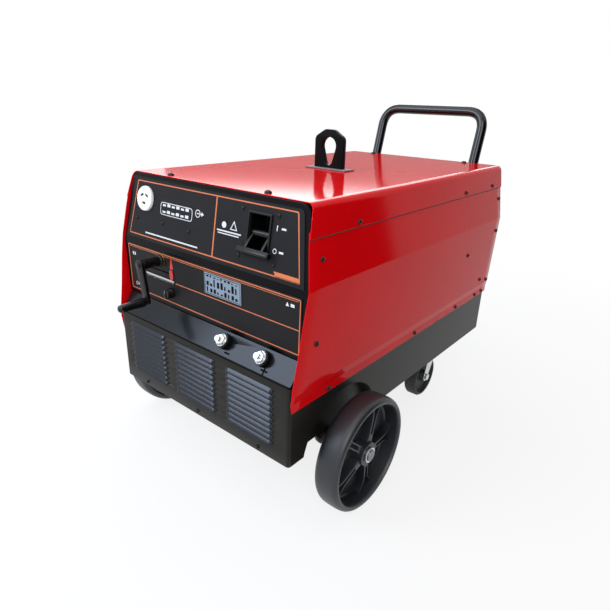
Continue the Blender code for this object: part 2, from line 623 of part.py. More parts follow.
# ---- lifting eye and push handle ------------------------------------------------------------------
def make_lifting_gear():
    half = EYE_WIDTH / 2
    nose = 0.014
    outline = [(-half, LIFT_BAR_TOP_Z + FIT), (half, LIFT_BAR_TOP_Z + FIT), (half, EYE_SHOULDER_Z),
               (nose, EYE_TOP_Z), (-nose, EYE_TOP_Z), (-half, EYE_SHOULDER_Z)]
    drop = EYE_HOLE_Z - EYE_SLOT_Z
    slant = math.degrees(math.asin((EYE_HOLE_RADIUS - EYE_SLOT_RADIUS) / drop))
    hole = arc((0.0, EYE_HOLE_Z), EYE_HOLE_RADIUS, -slant, 180 + slant, 16)
    hole += arc((0.0, EYE_SLOT_Z), EYE_SLOT_RADIUS, 180 + slant, 360 - slant, 8)
    plate("lifting_eye", [outline, hole], EYE_THICK, BLACK_PAINT, (0.0, EYE_DEPTH, 0.0))
    slot_x, slot_y = half + FIT, EYE_THICK / 2 + FIT
    wide_x, wide_y = slot_x + 0.018, slot_y + 0.014
    outer = [(-wide_x, -wide_y), (wide_x, -wide_y), (wide_x, wide_y), (-wide_x, wide_y)]
    inner = [(-slot_x, -slot_y), (slot_x, -slot_y), (slot_x, slot_y), (-slot_x, slot_y)]
    plate("eye_gasket", [outer, inner], 0.003, RUBBER, (0.0, EYE_DEPTH, CASE_TOP_Z + FIT + 0.0015), "XY")
    make_lift_frame()


def make_lift_frame():
    """Portal from the tray's floor up to the bar that carries the lifting eye."""
    post, bar, deep = 0.040, 0.045, 0.012
    post_x = BASE_HALF_WIDTH - 0.035 - post
    low = FLOOR_TOP_Z + FIT
    top = LIFT_BAR_TOP_Z
    corners = [(-post_x - post, low), (-post_x, low), (-post_x, top - bar), (post_x, top - bar), (post_x, low),
               (post_x + post, low), (post_x + post, top), (-post_x - post, top)]
    plate("lift_frame", [corners], deep, STEEL, (0.0, EYE_DEPTH, 0.0))


def handle_path():
    """Centre line of the handle: vertical legs, a knee, a lean back, round corners, cross bar."""
    lean = math.atan(HANDLE_LEAN)

    def leaned(x, up):
        z = HANDLE_KNEE_Z + up
        return (x, HANDLE_DEPTH + HANDLE_LEAN * up, z)

    rise = HANDLE_TOP_Z - HANDLE_KNEE_Z
    corner = HANDLE_BEND * math.cos(lean)
    left = [(-HANDLE_X, HANDLE_DEPTH, HANDLE_LOW_Z), (-HANDLE_X, HANDLE_DEPTH, HANDLE_KNEE_Z - 0.02),
            (-HANDLE_X, HANDLE_DEPTH + 0.0012, HANDLE_KNEE_Z)]
    for i in range(7):
        turn = math.pi / 2 * i / 6
        left.append(leaned(-HANDLE_X + HANDLE_BEND * (1 - math.cos(turn)), rise - corner * (1 - math.sin(turn))))
    return left + [(-x, y, z) for x, y, z in reversed(left)]


def make_push_handle():
    points = handle_path()
    curve = bpy.data.curves.new("push_handle", "CURVE")
    curve.dimensions = "3D"
    curve.bevel_depth = HANDLE_RADIUS
    curve.bevel_resolution = 2
    curve.use_fill_caps = True
    spline = curve.splines.new("POLY")
    spline.points.add(len(points) - 1)
    for point, place in zip(spline.points, points):
        point.co = (*place, 1.0)
    tube = bpy.data.objects.new("push_handle", curve)
    tube.parent = FRAME
    curve.materials.append(BLACK_PAINT)
    PARTS.objects.link(tube)
    for name, side in (("left", -1), ("right", 1)):
        x = side * HANDLE_X
        clamp = solid(f"handle_clamp_{name}",
                      lambda bm, x=x: add_box(bm, (x - 0.028, BASE_LENGTH + FIT, HANDLE_LOW_Z + 0.030),
                                              (x + 0.028, HANDLE_DEPTH + HANDLE_RADIUS + 0.006,
                                               HANDLE_LOW_Z + 0.085)), BLACK_PAINT)
        cut(clamp, lambda bm, x=x: add_cylinder(bm, (x, HANDLE_DEPTH, HANDLE_LOW_Z), "Z", 0.12,
                                                HANDLE_RADIUS + 2 * FIT, 16))


# ---- crank, pointer, knob and window --------------------------------------------------------------
def make_crank():
    x, z = CRANK_AXIS
    end_x, end_z = CRANK_ARM_END
    thick = CRANK_ARM_BACK - CRANK_ARM_FRONT
    aim = math.degrees(math.atan2(end_z, end_x))
    outline = arc((0, 0), 0.014, aim + 90, aim + 270, 10) + arc((end_x, end_z), 0.010, aim - 90, aim + 90, 8)
    arm = plate("crank_arm", [outline], thick, BLACK_PLASTIC, (x, (CRANK_ARM_FRONT + CRANK_ARM_BACK) / 2, z))
    pin = solid("grip_pin", lambda bm: add_cylinder(bm, (x + end_x, -CRANK_REACH, z + end_z), "Y",
                                                    CRANK_REACH + CRANK_ARM_FRONT + 0.002, PIN_RADIUS, 12), None)
    combine(arm, pin, "UNION")
    cut(arm, lambda bm: add_cylinder(bm, (x, CRANK_ARM_FRONT + 0.003, z), "Y", 0.02, SCREW_RADIUS + FIT))
    length = CRANK_REACH + CRANK_ARM_FRONT - FIT
    bore = PIN_RADIUS + RUNNING
    grip = [(bore, length), (0.0085, length), (0.0095, length * 0.7), (GRIP_RADIUS, length * 0.25),
            (GRIP_RADIUS - 0.002, 0.0), (bore, 0.0)]
    turned("crank_grip", grip, BLACK_PLASTIC, (x + end_x, -CRANK_REACH, z + end_z), "Y", closed=True, steps=20)
    screw_front = CRANK_ARM_FRONT + 0.003 + FIT
    solid("lead_screw", lambda bm: add_cylinder(bm, (0, 0, 0), "Y", SCREW_END - screw_front, SCREW_RADIUS, 20),
          STEEL, (x, screw_front, z))
    collar = NAMEPLATE_FACE + FIT
    bush = [(SCREW_RADIUS + RUNNING, 0.012), (BUSH_RADIUS, 0.012), (BUSH_RADIUS, -collar),
            (BUSH_RADIUS + 0.003, -collar), (BUSH_RADIUS + 0.003, -collar - 0.003),
            (SCREW_RADIUS + RUNNING, -collar - 0.003)]
    turned("crank_bush", bush, BRASS, (x, FRONT_DEPTH, z), "Y", closed=True, steps=24)


def make_moving_core():
    """Nut plate on the lead screw with the iron block that slides into the transformer window."""
    x, z = CRANK_AXIS
    near = MOVING_CORE_DEPTH
    block_z = FLOOR_TOP_Z + CORE_HEIGHT / 2
    carriage = solid("moving_core", lambda bm: add_box(bm, (-0.030, near - 0.006, block_z - 0.045),
                                                       (0.030, CORE_DEPTHS[0] + 0.020, block_z + 0.045)), STEEL)
    outline = arc((x, z), 0.020, 40, 220, 8) + [(-0.030, block_z - 0.040), (0.030, block_z - 0.040),
                                                (0.030, block_z + 0.040)]
    arm = plate("moving_core_arm", [outline], 0.010, None, (0.0, near, 0.0))
    combine(carriage, arm, "UNION")
    cut(carriage, lambda bm: add_cylinder(bm, (x, near - 0.05, z), "Y", 0.1, SCREW_RADIUS + FIT, 20))


def make_pointer():
    """Red pointer in front of the scale, its pin through the slot, its slider behind the panel."""
    face = -NAMEPLATE_FACE - 0.002
    inner = PANEL_SHEET + FIT
    drop = SCALE_Z[1] + 0.001 - POINTER_SLOT_Z

    def build(bm):
        add_box(bm, (-0.003, face, drop), (0.003, face + 0.0012, 0.010))

    pointer = solid("current_pointer", build, RED_PAINT, (POINTER_X, FRONT_DEPTH, POINTER_SLOT_Z))
    pin = solid("pointer_pin", lambda bm: add_box(bm, (-0.0015, face + 0.0006, -0.0012), (0.0015, inner + 0.001, 0.0012)),
                None, (POINTER_X, FRONT_DEPTH, POINTER_SLOT_Z))
    slider = solid("pointer_slider", lambda bm: add_box(bm, (-0.006, inner, -0.006), (0.006, inner + 0.004, 0.006)),
                   None, (POINTER_X, FRONT_DEPTH, POINTER_SLOT_Z))
    combine(pointer, pin, "UNION")
    combine(pointer, slider, "UNION")


def make_lower_trim():
    face = FRONT_DEPTH - NAMEPLATE_FACE - FIT
    solid("scale_plate", lambda bm: add_box(bm, (SCALE_SPAN[0], face - 0.0010, SCALE_Z[0]),
                                            (SCALE_SPAN[1], face, SCALE_Z[1])), ALUMINIUM)
    solid("display_window", lambda bm: add_box(bm, (WINDOW_SPAN[0], face - 0.0015, WINDOW_Z[0]),
                                               (WINDOW_SPAN[1], face, WINDOW_Z[1])), WINDOW_GREY)
    back = NAMEPLATE_FACE + FIT
    knob = [(0.0, 0.012), (PIN_RADIUS, 0.012), (PIN_RADIUS, -back), (KNOB_RADIUS, -back),
            (KNOB_RADIUS - 0.002, -back - KNOB_HEIGHT), (0.0, -back - KNOB_HEIGHT)]
    dial = turned("selector_knob", knob, BLACK_PLASTIC, (KNOB_AXIS[0], FRONT_DEPTH, KNOB_AXIS[1]), "Y", steps=24)
    ridge = solid("knob_ridge", lambda bm: add_box(bm, (-0.002, -back - KNOB_HEIGHT - 0.002, -KNOB_RADIUS * 0.8),
                                                   (0.002, -back - KNOB_HEIGHT + 0.004, KNOB_RADIUS * 0.8)), None,
                  (KNOB_AXIS[0], FRONT_DEPTH, KNOB_AXIS[1]))
    combine(dial, ridge, "UNION")


# ---- power switch and outlet, on the leaning panel ------------------------------------------------
def make_power_switch():
    wide, high = SWITCH_OPENING
    low, top = SWITCH_UP - high / 2, SWITCH_UP + high / 2
    left, right = SWITCH_X - wide / 2, SWITCH_X + wide / 2
    out_x, out_z = wide / 2 + BEZEL_RIM, high / 2 + BEZEL_RIM
    outer = [(-out_x, -out_z), (out_x, -out_z), (out_x, out_z), (-out_x, out_z)]
    inner = [(-wide / 2, -high / 2), (wide / 2, -high / 2), (wide / 2, high / 2), (-wide / 2, high / 2)]
    face = -NAMEPLATE_FACE - FIT - BEZEL_THICK / 2
    plate("switch_bezel", [outer, inner], BEZEL_THICK, BLACK_PLASTIC, (SWITCH_X, face, SWITCH_UP),
          parent=UPPER_FRAME)
    wall = 0.003
    near = PANEL_SHEET + FIT
    body = solid("switch_body", lambda bm: add_box(bm, (left - wall, near, low - wall),
                                                   (right + wall, near + SWITCH_BODY_DEPTH, top + wall)),
                 BLACK_PLASTIC, parent=UPPER_FRAME)
    cut(body,
        lambda bm: add_box(bm, (left, 0.0, low), (right, near + SWITCH_BODY_DEPTH - wall, top)),
        lambda bm: add_cylinder(bm, (left - 0.01, SWITCH_IN, SWITCH_UP), "X", wide + 0.02, PIN_RADIUS + RUNNING, 16),
        parent=UPPER_FRAME)
    make_switch_lever(wide / 2, wide / 2 + wall)


def make_switch_lever(half_opening, half_body):
    """Two arms on a hub that turns in the body's side walls, joined outside by a wide grip bar."""
    pivot = (SWITCH_X, SWITCH_IN, SWITCH_UP)
    reach = half_opening - 0.001
    bar_y = -LEVER_REACH * math.cos(LEVER_REST)
    bar_z = -LEVER_REACH * math.sin(LEVER_REST)
    aim = math.degrees(LEVER_REST)
    lever = solid("switch_lever", lambda bm: add_cylinder(bm, (-reach, 0, 0), "X", 2 * reach, 0.008, 20),
                  BLACK_PLASTIC, pivot, UPPER_FRAME)
    arm = [*arc((0, 0), 0.004, 270 + aim, 450 + aim, 6), *arc((bar_y, bar_z), 0.004, 90 + aim, 270 + aim, 6)]
    for number, x in enumerate((-reach + LEVER_ARM / 2, reach - LEVER_ARM / 2)):
        guide = plate(f"lever_arm_{number}", [arm], LEVER_ARM, None, (SWITCH_X + x, SWITCH_IN, SWITCH_UP), "YZ",
                      UPPER_FRAME)
        combine(lever, guide, "UNION")
    for name, half, radius, y, z in (("bar", LEVER_BAR_WIDTH / 2, LEVER_BAR_RADIUS, bar_y, bar_z),
                                     ("pins", half_body, PIN_RADIUS, 0.0, 0.0)):
        def rod(bm, half=half, radius=radius, y=y, z=z):
            add_cylinder(bm, (-half, y, z), "X", 2 * half, radius, 16)

        combine(lever, solid(f"lever_{name}", rod, None, pivot, UPPER_FRAME), "UNION")


def make_outlet():
    back = NAMEPLATE_FACE + FIT
    rise = 0.006
    profile = [(0.0, 0.030), (OUTLET_BODY_RADIUS, 0.030), (OUTLET_BODY_RADIUS, -back), (OUTLET_RADIUS, -back),
               (OUTLET_RADIUS, -back - rise * 0.6), (OUTLET_RADIUS - 0.004, -back - rise), (0.0, -back - rise)]
    outlet = turned("outlet_socket", profile, WHITE_PLASTIC, (OUTLET_X, 0.0, OUTLET_UP), "Y", steps=32,
                    parent=UPPER_FRAME)

    def slots(bm):
        for turn in (90, 210, 330):
            at_x = OUTLET_X + 0.010 * math.cos(math.radians(turn))
            at_z = OUTLET_UP - 0.010 * math.sin(math.radians(turn))
            add_box(bm, (at_x - 0.003, -0.02, at_z - 0.0015), (at_x + 0.003, 0.012, at_z + 0.0015))

    cut(outlet, slots, parent=UPPER_FRAME)


def make_output_studs():
    """Insulator, threaded stud and flanged nut for each welding output, square to the ledge."""
    for name, x in STUD_XS.items():
        bore = STUD_RADIUS + FIT
        inner = CASE_SHEET + 0.012
        insulator = [(bore, inner), (INSULATOR_BODY_RADIUS, inner), (INSULATOR_BODY_RADIUS, -FIT),
                     (INSULATOR_RADIUS, -FIT), (INSULATOR_RADIUS - 0.001, -FIT - INSULATOR_HEIGHT),
                     (bore, -FIT - INSULATOR_HEIGHT)]
        turned(f"stud_insulator_{name}", insulator, BLACK_PLASTIC, (x, 0.0, STUD_UP), "Y", closed=True, steps=24,
               parent=LEDGE_FRAME)
        nut_low = -INSULATOR_HEIGHT - 2 * FIT
        solid(f"output_stud_{name}",
              lambda bm: add_cylinder(bm, (0, nut_low - NUT_HEIGHT - 0.006, 0), "Y",
                                      0.050, STUD_RADIUS, 20), ZINC, (x, 0.0, STUD_UP), LEDGE_FRAME)
        washer = ring(bore, 0.0135, nut_low - 0.003, nut_low)
        nut = turned(f"stud_nut_{name}", washer, ZINC, (x, 0.0, STUD_UP), "Y", closed=True, steps=24,
                     parent=LEDGE_FRAME)
        hex_bore = bore / math.cos(math.pi / 6)
        collar = turned(f"nut_hexagon_{name}", ring(hex_bore, 0.0125, nut_low - NUT_HEIGHT, nut_low - 0.002), None,
                        (x, 0.0, STUD_UP), "Y", closed=True, steps=6, parent=LEDGE_FRAME)
        combine(nut, collar, "UNION")


# ---- inside ---------------------------------------------------------------------------------------
def make_transformer():
    low = FLOOR_TOP_Z + FIT
    top = low + CORE_HEIGHT
    near, far = CORE_DEPTHS
    outer = [(-CORE_X, low), (CORE_X, low), (CORE_X, top), (-CORE_X, top)]
    inner = [(-CORE_X + CORE_LIMB, low + CORE_LIMB), (CORE_X - CORE_LIMB, low + CORE_LIMB),
             (CORE_X - CORE_LIMB, top - CORE_LIMB), (-CORE_X + CORE_LIMB, top - CORE_LIMB)]
    plate("transformer_core", [outer, inner], far - near, STEEL, (0.0, (near + far) / 2, 0.0))
    for name, side in (("primary_coil", -1), ("secondary_coil", 1)):
        limb = side * (CORE_X - CORE_LIMB / 2)
        hole_x, hole_y = CORE_LIMB / 2 + FIT, (far - near) / 2 + FIT
        wide_x, wide_y = hole_x + COIL_BUILD, hole_y + COIL_BUILD
        outer = [(-wide_x, -wide_y), (wide_x, -wide_y), (wide_x, wide_y), (-wide_x, wide_y)]
        inner = [(-hole_x, -hole_y), (hole_x, -hole_y), (hole_x, hole_y), (-hole_x, hole_y)]
        plate(name, [outer, inner], CORE_HEIGHT - 2 * CORE_LIMB - 2 * FIT, COPPER,
              (limb, (near + far) / 2, (low + top) / 2), "XY")


def make_choke_and_rectifier():
    low = FLOOR_TOP_Z + FIT
    near, far = CHOKE_DEPTHS
    top = low + CHOKE_HEIGHT
    solid("choke_coil", lambda bm: add_box(bm, (-0.09, near, low), (0.09, far, top)), COPPER)

    def fins(bm):
        add_box(bm, (-0.08, near + 0.010, top + FIT), (0.08, far - 0.010, top + 0.012))

    stack = solid("rectifier_stack", fins, ALUMINIUM)

    def blades(bm):
        for number in range(6):
            x = -0.075 + number * 0.030
            add_box(bm, (x - 0.002, near + 0.010, top + 0.010), (x + 0.002, far - 0.010, top + 0.090))

    combine(stack, solid("rectifier_fins", blades, None), "UNION")


def make_fan():
    near, far = MOTOR_DEPTHS
    motor = solid("fan_motor", lambda bm: add_cylinder(bm, (0, near, FAN_AXIS_Z), "Y", far - near, 0.045, 28), STEEL)
    stand = solid("motor_stand", lambda bm: add_box(bm, (-0.030, near + 0.010, FLOOR_TOP_Z + FIT),
                                                    (0.030, far - 0.010, FAN_AXIS_Z - 0.020)), None)
    shaft = solid("motor_shaft", lambda bm: add_cylinder(bm, (0, far - 0.005, FAN_AXIS_Z), "Y",
                                                         FAN_DEPTH + 0.018 - far, 0.004, 12), None)
    combine(motor, stand, "UNION")
    combine(motor, shaft, "UNION")
    hub = turned("fan_blade", ring(0.004 + FIT, 0.024, -0.012, 0.012), BLACK_PLASTIC, (0.0, FAN_DEPTH, FAN_AXIS_Z),
                 "Y", closed=True, steps=24)

    def blades(bm):
        for number in range(5):
            made = bmesh.ops.create_cube(bm, size=1.0)["verts"]
            reach = FAN_RADIUS - 0.018
            shape = (Matrix.Rotation(math.tau * number / 5, 4, "Y") @ Matrix.Translation((0.018 + reach / 2, 0, 0))
                     @ Matrix.Rotation(math.radians(32), 4, "X") @ Matrix.Diagonal((reach, 0.003, 0.050, 1.0)))
            bmesh.ops.transform(bm, matrix=shape, verts=made)

    blade_set = solid("fan_blade_set", blades, None, (0.0, FAN_DEPTH, FAN_AXIS_Z))
    combine(hub, blade_set, "UNION")
    make_fan_guard()


def make_fan_guard():
    """Wire-like guard over the fan opening: rings joined by four spokes, seated on the rear panel."""
    near = BASE_LENGTH + FIT
    guard = turned("fan_guard", ring(FAN_OPENING - 0.004, FAN_OPENING + 0.010, 0.0, 0.003), ZINC,
                   (0.0, near, FAN_AXIS_Z), "Y", closed=True, steps=40)
    for number, radius in enumerate((0.030, 0.062, 0.094)):
        hoop = turned(f"guard_ring_{number}", ring(radius - 0.002, radius + 0.002, 0.0, 0.003), None,
                      (0.0, near, FAN_AXIS_Z), "Y", closed=True, steps=28)
        combine(guard, hoop, "UNION")
    for number, turn in enumerate((45, 135)):
        spoke = solid(f"guard_spoke_{number}",
                      lambda bm: add_box(bm, (-FAN_OPENING, 0.0005, -0.002), (FAN_OPENING, 0.0025, 0.002)), None,
                      (0.0, near, FAN_AXIS_Z))
        spoke.rotation_euler = (0.0, math.radians(turn), 0.0)
        combine(guard, spoke, "UNION")


def make_supply_entry():
    """Cable gland in the rear panel and the input terminal board behind it."""
    x, z = GLAND_AXIS
    body = GLAND_RADIUS * 0.6
    gland = [(0.006, 0.030), (0.011, 0.030), (GLAND_RADIUS - 0.002, 0.022), (GLAND_RADIUS, 0.020), (GLAND_RADIUS, FIT),
             (body, FIT), (body, -PANEL_SHEET - 0.010), (0.006, -PANEL_SHEET - 0.010)]
    turned("cable_gland", gland, BLACK_PLASTIC, (x, BASE_LENGTH, z), "Y", flip=False, closed=True, steps=20)
    board_far = REAR_INNER - FIT
    board = solid("terminal_board", lambda bm: add_box(bm, (0.150, board_far - 0.008, z - 0.040),
                                                       (0.250, board_far, z + 0.030)), BROWN_BOARD)

    def posts(bm):
        for number in range(3):
            add_cylinder(bm, (0.170 + number * 0.030, board_far - 0.028, z - 0.005), "Y", 0.022, 0.005, 10)

    combine(board, solid("terminal_posts", posts, None), "UNION")


clear_scene()
PARTS = new_collection(COLLECTION)
CUTTERS = new_collection("cutters")
FRAME = new_frame("machine_frame", (0.0, FRAME_Y, 0.0))
UPPER_FRAME = new_frame("upper_panel_frame", (0.0, FRONT_DEPTH, FRONT_BEND_Z), -FRONT_LEAN, FRAME)
LEDGE_FRONT = (PANEL_SHEET + FIT, LOUVRE_TOP_Z + 0.002)
LEDGE_LEAN = math.atan2(LEDGE_BACK[0] - LEDGE_FRONT[0], LEDGE_BACK[1] - LEDGE_FRONT[1])
LEDGE_FRAME = new_frame("ledge_frame", (0.0, *LEDGE_FRONT), -LEDGE_LEAN, FRAME)

RED_PAINT = material("red_powder_paint", (0.60, 0.008, 0.008), 0.28)
BLACK_PAINT = material("black_powder_paint", (0.018, 0.018, 0.017), 0.42)
LEDGE_PAINT = material("ledge_satin_paint", (0.030, 0.036, 0.042), 0.35)
NAMEPLATE_BLACK = material("printed_nameplate", (0.020, 0.020, 0.022), 0.45)
BLACK_PLASTIC = material("black_moulded_plastic", (0.012, 0.012, 0.013), 0.40)
WHEEL_PLASTIC = material("wheel_moulding", (0.022, 0.022, 0.025), 0.38)
TYRE = material("caster_tyre", (0.015, 0.015, 0.015), 0.70)
RUBBER = material("grey_gasket", (0.20, 0.20, 0.20), 0.70)
WHITE_PLASTIC = material("white_outlet_plastic", (0.80, 0.80, 0.78), 0.35)
WINDOW_GREY = material("window_grey", (0.25, 0.30, 0.34), 0.15)
BROWN_BOARD = material("terminal_board_laminate", (0.20, 0.10, 0.05), 0.60)
STEEL = material("mild_steel", (0.35, 0.35, 0.36), 0.45, 1.0)
ZINC = material("zinc_plate", (0.62, 0.62, 0.60), 0.30, 1.0)
ALUMINIUM = material("aluminium", (0.70, 0.70, 0.71), 0.35, 1.0)
COPPER = material("varnished_copper", (0.55, 0.25, 0.12), 0.45, 0.6)
BRASS = material("brass", (0.70, 0.50, 0.20), 0.35, 1.0)

make_base()
make_running_gear()
make_louvre_panel()
make_output_ledge()
make_front_panel()
make_side_panels()
make_top_cover()
make_rear_panel()
make_lifting_gear()
make_push_handle()
make_crank()
make_moving_core()
make_pointer()
make_lower_trim()
make_power_switch()
make_outlet()
make_output_studs()
make_transformer()
make_choke_and_rectifier()
make_fan()
make_supply_entry()
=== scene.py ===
"""Looks of the wheeled stick-welding power source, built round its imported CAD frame.

Metres, +Z up.  Depths are counted from the outer face of the louvred front panel, as in at(x, depth, z).
"""
import math

import bmesh
import bpy
from mathutils import Matrix, Vector


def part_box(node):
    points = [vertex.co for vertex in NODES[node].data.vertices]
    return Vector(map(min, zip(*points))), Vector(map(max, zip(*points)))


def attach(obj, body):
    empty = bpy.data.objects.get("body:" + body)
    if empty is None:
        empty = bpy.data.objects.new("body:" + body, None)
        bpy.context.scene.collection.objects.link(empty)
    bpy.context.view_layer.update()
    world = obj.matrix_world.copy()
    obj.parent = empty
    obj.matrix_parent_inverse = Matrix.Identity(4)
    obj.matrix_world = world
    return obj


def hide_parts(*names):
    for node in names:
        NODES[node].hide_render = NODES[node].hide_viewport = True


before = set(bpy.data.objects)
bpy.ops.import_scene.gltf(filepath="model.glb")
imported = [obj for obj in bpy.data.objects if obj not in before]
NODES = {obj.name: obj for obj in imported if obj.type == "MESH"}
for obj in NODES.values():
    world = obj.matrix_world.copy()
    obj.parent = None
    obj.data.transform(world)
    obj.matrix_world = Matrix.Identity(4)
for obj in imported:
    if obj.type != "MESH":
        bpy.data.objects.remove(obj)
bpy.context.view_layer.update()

# ---- sizes shared by several pieces (metres) ----
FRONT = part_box("louvre_panel")[0].y             # world Y of the louvred panel's face
BASE_HALF_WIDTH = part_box("louvre_panel")[1].x
BASE_BOTTOM_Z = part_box("louvre_panel")[0].z
LOUVRE_TOP_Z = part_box("louvre_panel")[1].z
CASE_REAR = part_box("top_cover")[1].y - FRONT
CASE_TOP_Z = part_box("top_cover")[1].z
FRONT_DEPTH = 0.034                             # lower front panel behind the louvred panel
FRONT_BEND_Z = 0.510
FRONT_LEAN = math.radians(9.58)
PLATE_FACE = 0.0015                             # nameplate face in front of the front panel
FLANGE_X = 0.2773
FLANGE_Z = (0.2865, 0.306)
JOGGLE_X, JOGGLE_Z = 0.2800, 0.322
CREASE_X, CREASE_Z = 0.2870, 0.522
SEAM_Z = 0.6105
SIDE_LEAN = 0.165
COVER_STEP = 0.0023
COVER_RADIUS = 0.018
SHEET = 0.002
AXLE_DEPTH, WHEEL_RADIUS = 0.179, 0.130


def at(x, depth, z):
    return Vector((x, depth + FRONT, z))


def placed(x, depth, z):
    """Shift to at(x, depth, z)."""
    return Matrix.Translation(at(x, depth, z))


def shift(x, y, z):
    return Matrix.Translation((x, y, z))


def spin(degrees, axis):
    return Matrix.Rotation(math.radians(degrees), 4, axis)


def front_y(z):
    """Depth of the front panel's face at height z."""
    return FRONT_DEPTH + max(0.0, z - FRONT_BEND_Z) * math.tan(FRONT_LEAN)


def side_x(z):
    """Half width over the red side panel at height z."""
    if z >= CREASE_Z:
        return CREASE_X - SIDE_LEAN * (z - CREASE_Z)
    if z >= JOGGLE_Z:
        return JOGGLE_X + (CREASE_X - JOGGLE_X) * (z - JOGGLE_Z) / (CREASE_Z - JOGGLE_Z)
    return FLANGE_X


UPPER = placed(0.0, FRONT_DEPTH, FRONT_BEND_Z) @ Matrix.Rotation(-FRONT_LEAN, 4, "X")
LOWER = placed(0.0, FRONT_DEPTH, 0.0)
LEDGE_LEAN = math.atan2(0.0307, 0.0417)
STUDS, STUD_UP = (("negative", 0.080), ("positive", 0.190)), 0.030
LEDGE = placed(0.0, 0.0028, 0.3405) @ Matrix.Rotation(-LEDGE_LEAN, 4, "X")


# ---- materials ----
def linear(hex_colour):
    """sRGB hex colour as linear RGBA."""
    parts = [int(hex_colour[i:i + 2], 16) / 255 for i in (1, 3, 5)]
    return tuple(c / 12.92 if c <= 0.04045 else ((c + 0.055) / 1.055) ** 2.4 for c in parts) + (1.0,)


def node(tree, kind, settings=None, links=None):
    """Adds a node; settings set its properties or sockets, links join its sockets to other nodes' outputs."""
    made = tree.nodes.new("ShaderNode" + kind)
    for key, value in (settings or {}).items():
        if isinstance(key, str) and hasattr(made, key):
            setattr(made, key, value)
        else:
            made.inputs[key].default_value = value
    for key, source in (links or {}).items():
        tree.links.new(source, made.inputs[key])
    return made


def new_material(name, colour, roughness, metallic=0.0, level=0.5):
    """Plain material; level is the strength of its clear reflection."""
    made = bpy.data.materials.new(name)
    made.use_nodes = True
    shader = made.node_tree.nodes["Principled BSDF"]
    shader.inputs["Base Color"].default_value = linear(colour)
    shader.inputs["Roughness"].default_value = roughness
    shader.inputs["Metallic"].default_value = metallic
    shader.inputs["Specular IOR Level"].default_value = level
    return made, made.node_tree, shader


def noise(tree, place, grain_mm, detail, roughness):
    """Noise with grains of a real size."""
    settings = {"Scale": 1000.0 / grain_mm, "Detail": detail, "Roughness": roughness}
    return node(tree, "TexNoise", settings, {"Vector": place}).outputs["Fac"]


def remap(tree, source, low, high, to_low=0.0, to_high=1.0):
    """Straight-line change from one range to another, held at both ends."""
    ranges = {"From Min": low, "From Max": high, "To Min": to_low, "To Max": to_high}
    return node(tree, "MapRange", ranges, {"Value": source}).outputs["Result"]


def surface(name, colour, second, roughness, spread, grain_mm, bump_mm, patch_mm=120.0, metallic=0.0,
            stretch=None, level=0.5):
    """Finish with slow colour drift, uneven gloss and a fine raised grain, all in real millimetres."""
    made, tree, shader = new_material(name, colour, roughness, metallic, level)
    place = node(tree, "TexCoord").outputs["Object"]
    if stretch:
        place = node(tree, "Mapping", {"Scale": stretch}, {"Vector": place}).outputs["Vector"]
    drift = remap(tree, noise(tree, place, patch_mm, 4.0, 0.55), 0.35, 0.65)
    blend = node(tree, "Mix", {"data_type": "RGBA", 6: linear(colour), 7: linear(second)}, {0: drift})
    grain = noise(tree, place, grain_mm, 3.0, 0.6)
    gloss = remap(tree, grain, 0.3, 0.7, roughness - spread, roughness + spread)
    raised = node(tree, "Bump", {"Strength": 1.0, "Distance": bump_mm / 1000.0}, {"Height": grain})
    for socket, source in (("Base Color", blend.outputs[2]), ("Roughness", gloss),
                           ("Normal", raised.outputs["Normal"])):
        tree.links.new(source, shader.inputs[socket])
    return made


# Gloss polyester powder paint on sheet steel: deep even red, wet-looking, with a faint orange-peel skin.
RED = surface("powder_paint_gloss_red", "#D8060E", "#D2050C", 0.09, 0.02, 2.6, 0.004, level=0.09)
# Semi-gloss powder paint on the steel base and panels: warm black with a slight olive cast and fine texture.
BLACK = surface("powder_paint_satin_black", "#1E1C19", "#1A1815", 0.34, 0.05, 1.2, 0.005, level=0.16)
# The same paint on the handle tube and the crank's grip, smoother and more reflective.
TUBE = surface("powder_paint_gloss_black", "#090A0C", "#08080A", 0.16, 0.03, 1.8, 0.003, level=0.40)
# The bent front panel's border and the lifting eye: deeper black than the base, smooth.
BORDER = surface("powder_paint_deep_black", "#08080A", "#070709", 0.30, 0.04, 1.4, 0.003, level=0.09)
# Satin black paint on the sloping output ledge, the same as the panels: its gloss picks up the light from
# above, and the bluish slate cast in its colour is painted sky reflection.
LEDGE_SKY_TINT = surface("satin_black_paint_painted_sky_tint", "#0F1319", "#0D1116", 0.20, 0.02, 1.2, 0.001, level=0.22)
# Pressed louvres: the panel's black paint, glossier than the flat panel, so that each hood catches the light
# from above; the bluish slate cast in its colour is painted sky reflection.
HOOD = surface("pressed_louvre_paint_painted_sky_tint", "#161C25", "#131922", 0.22, 0.02, 1.2, 0.0006, level=0.32)
# Screen-printed polycarbonate nameplate: matt charcoal with a very fine tooth.
PLATE = surface("printed_matt_polycarbonate", "#1D1C1E", "#1A191B", 0.50, 0.05, 0.7, 0.003, level=0.12)
# Screen-printing inks: flat, opaque, slightly raised.
ORANGE = surface("screen_ink_orange", "#CC6E42", "#C3663B", 0.45, 0.04, 1.0, 0.002)
WHITE_INK = surface("screen_ink_white", "#DADADA", "#CFCFCF", 0.45, 0.04, 1.0, 0.002)
DARK_INK = surface("screen_ink_dark", "#060708", "#050506", 0.60, 0.04, 1.0, 0.002, level=0.05)
# Glass-filled nylon, injection moulded: deep black, low sheen with a fine spark texture.
NYLON = surface("moulded_nylon_black", "#080809", "#0A0A0B", 0.26, 0.05, 0.9, 0.008, level=0.26)
# Polypropylene wheel with a moulded rubber tread: dark blue-grey, broad soft highlight.
WHEEL = surface("moulded_wheel_rubber", "#1B1E24", "#171A1F", 0.42, 0.05, 1.6, 0.005, level=0.6)
# Cured rubber of the caster tyres: near black and dull.
TYRE = surface("cured_rubber_black", "#1A1A1A", "#202020", 0.62, 0.08, 1.2, 0.02)
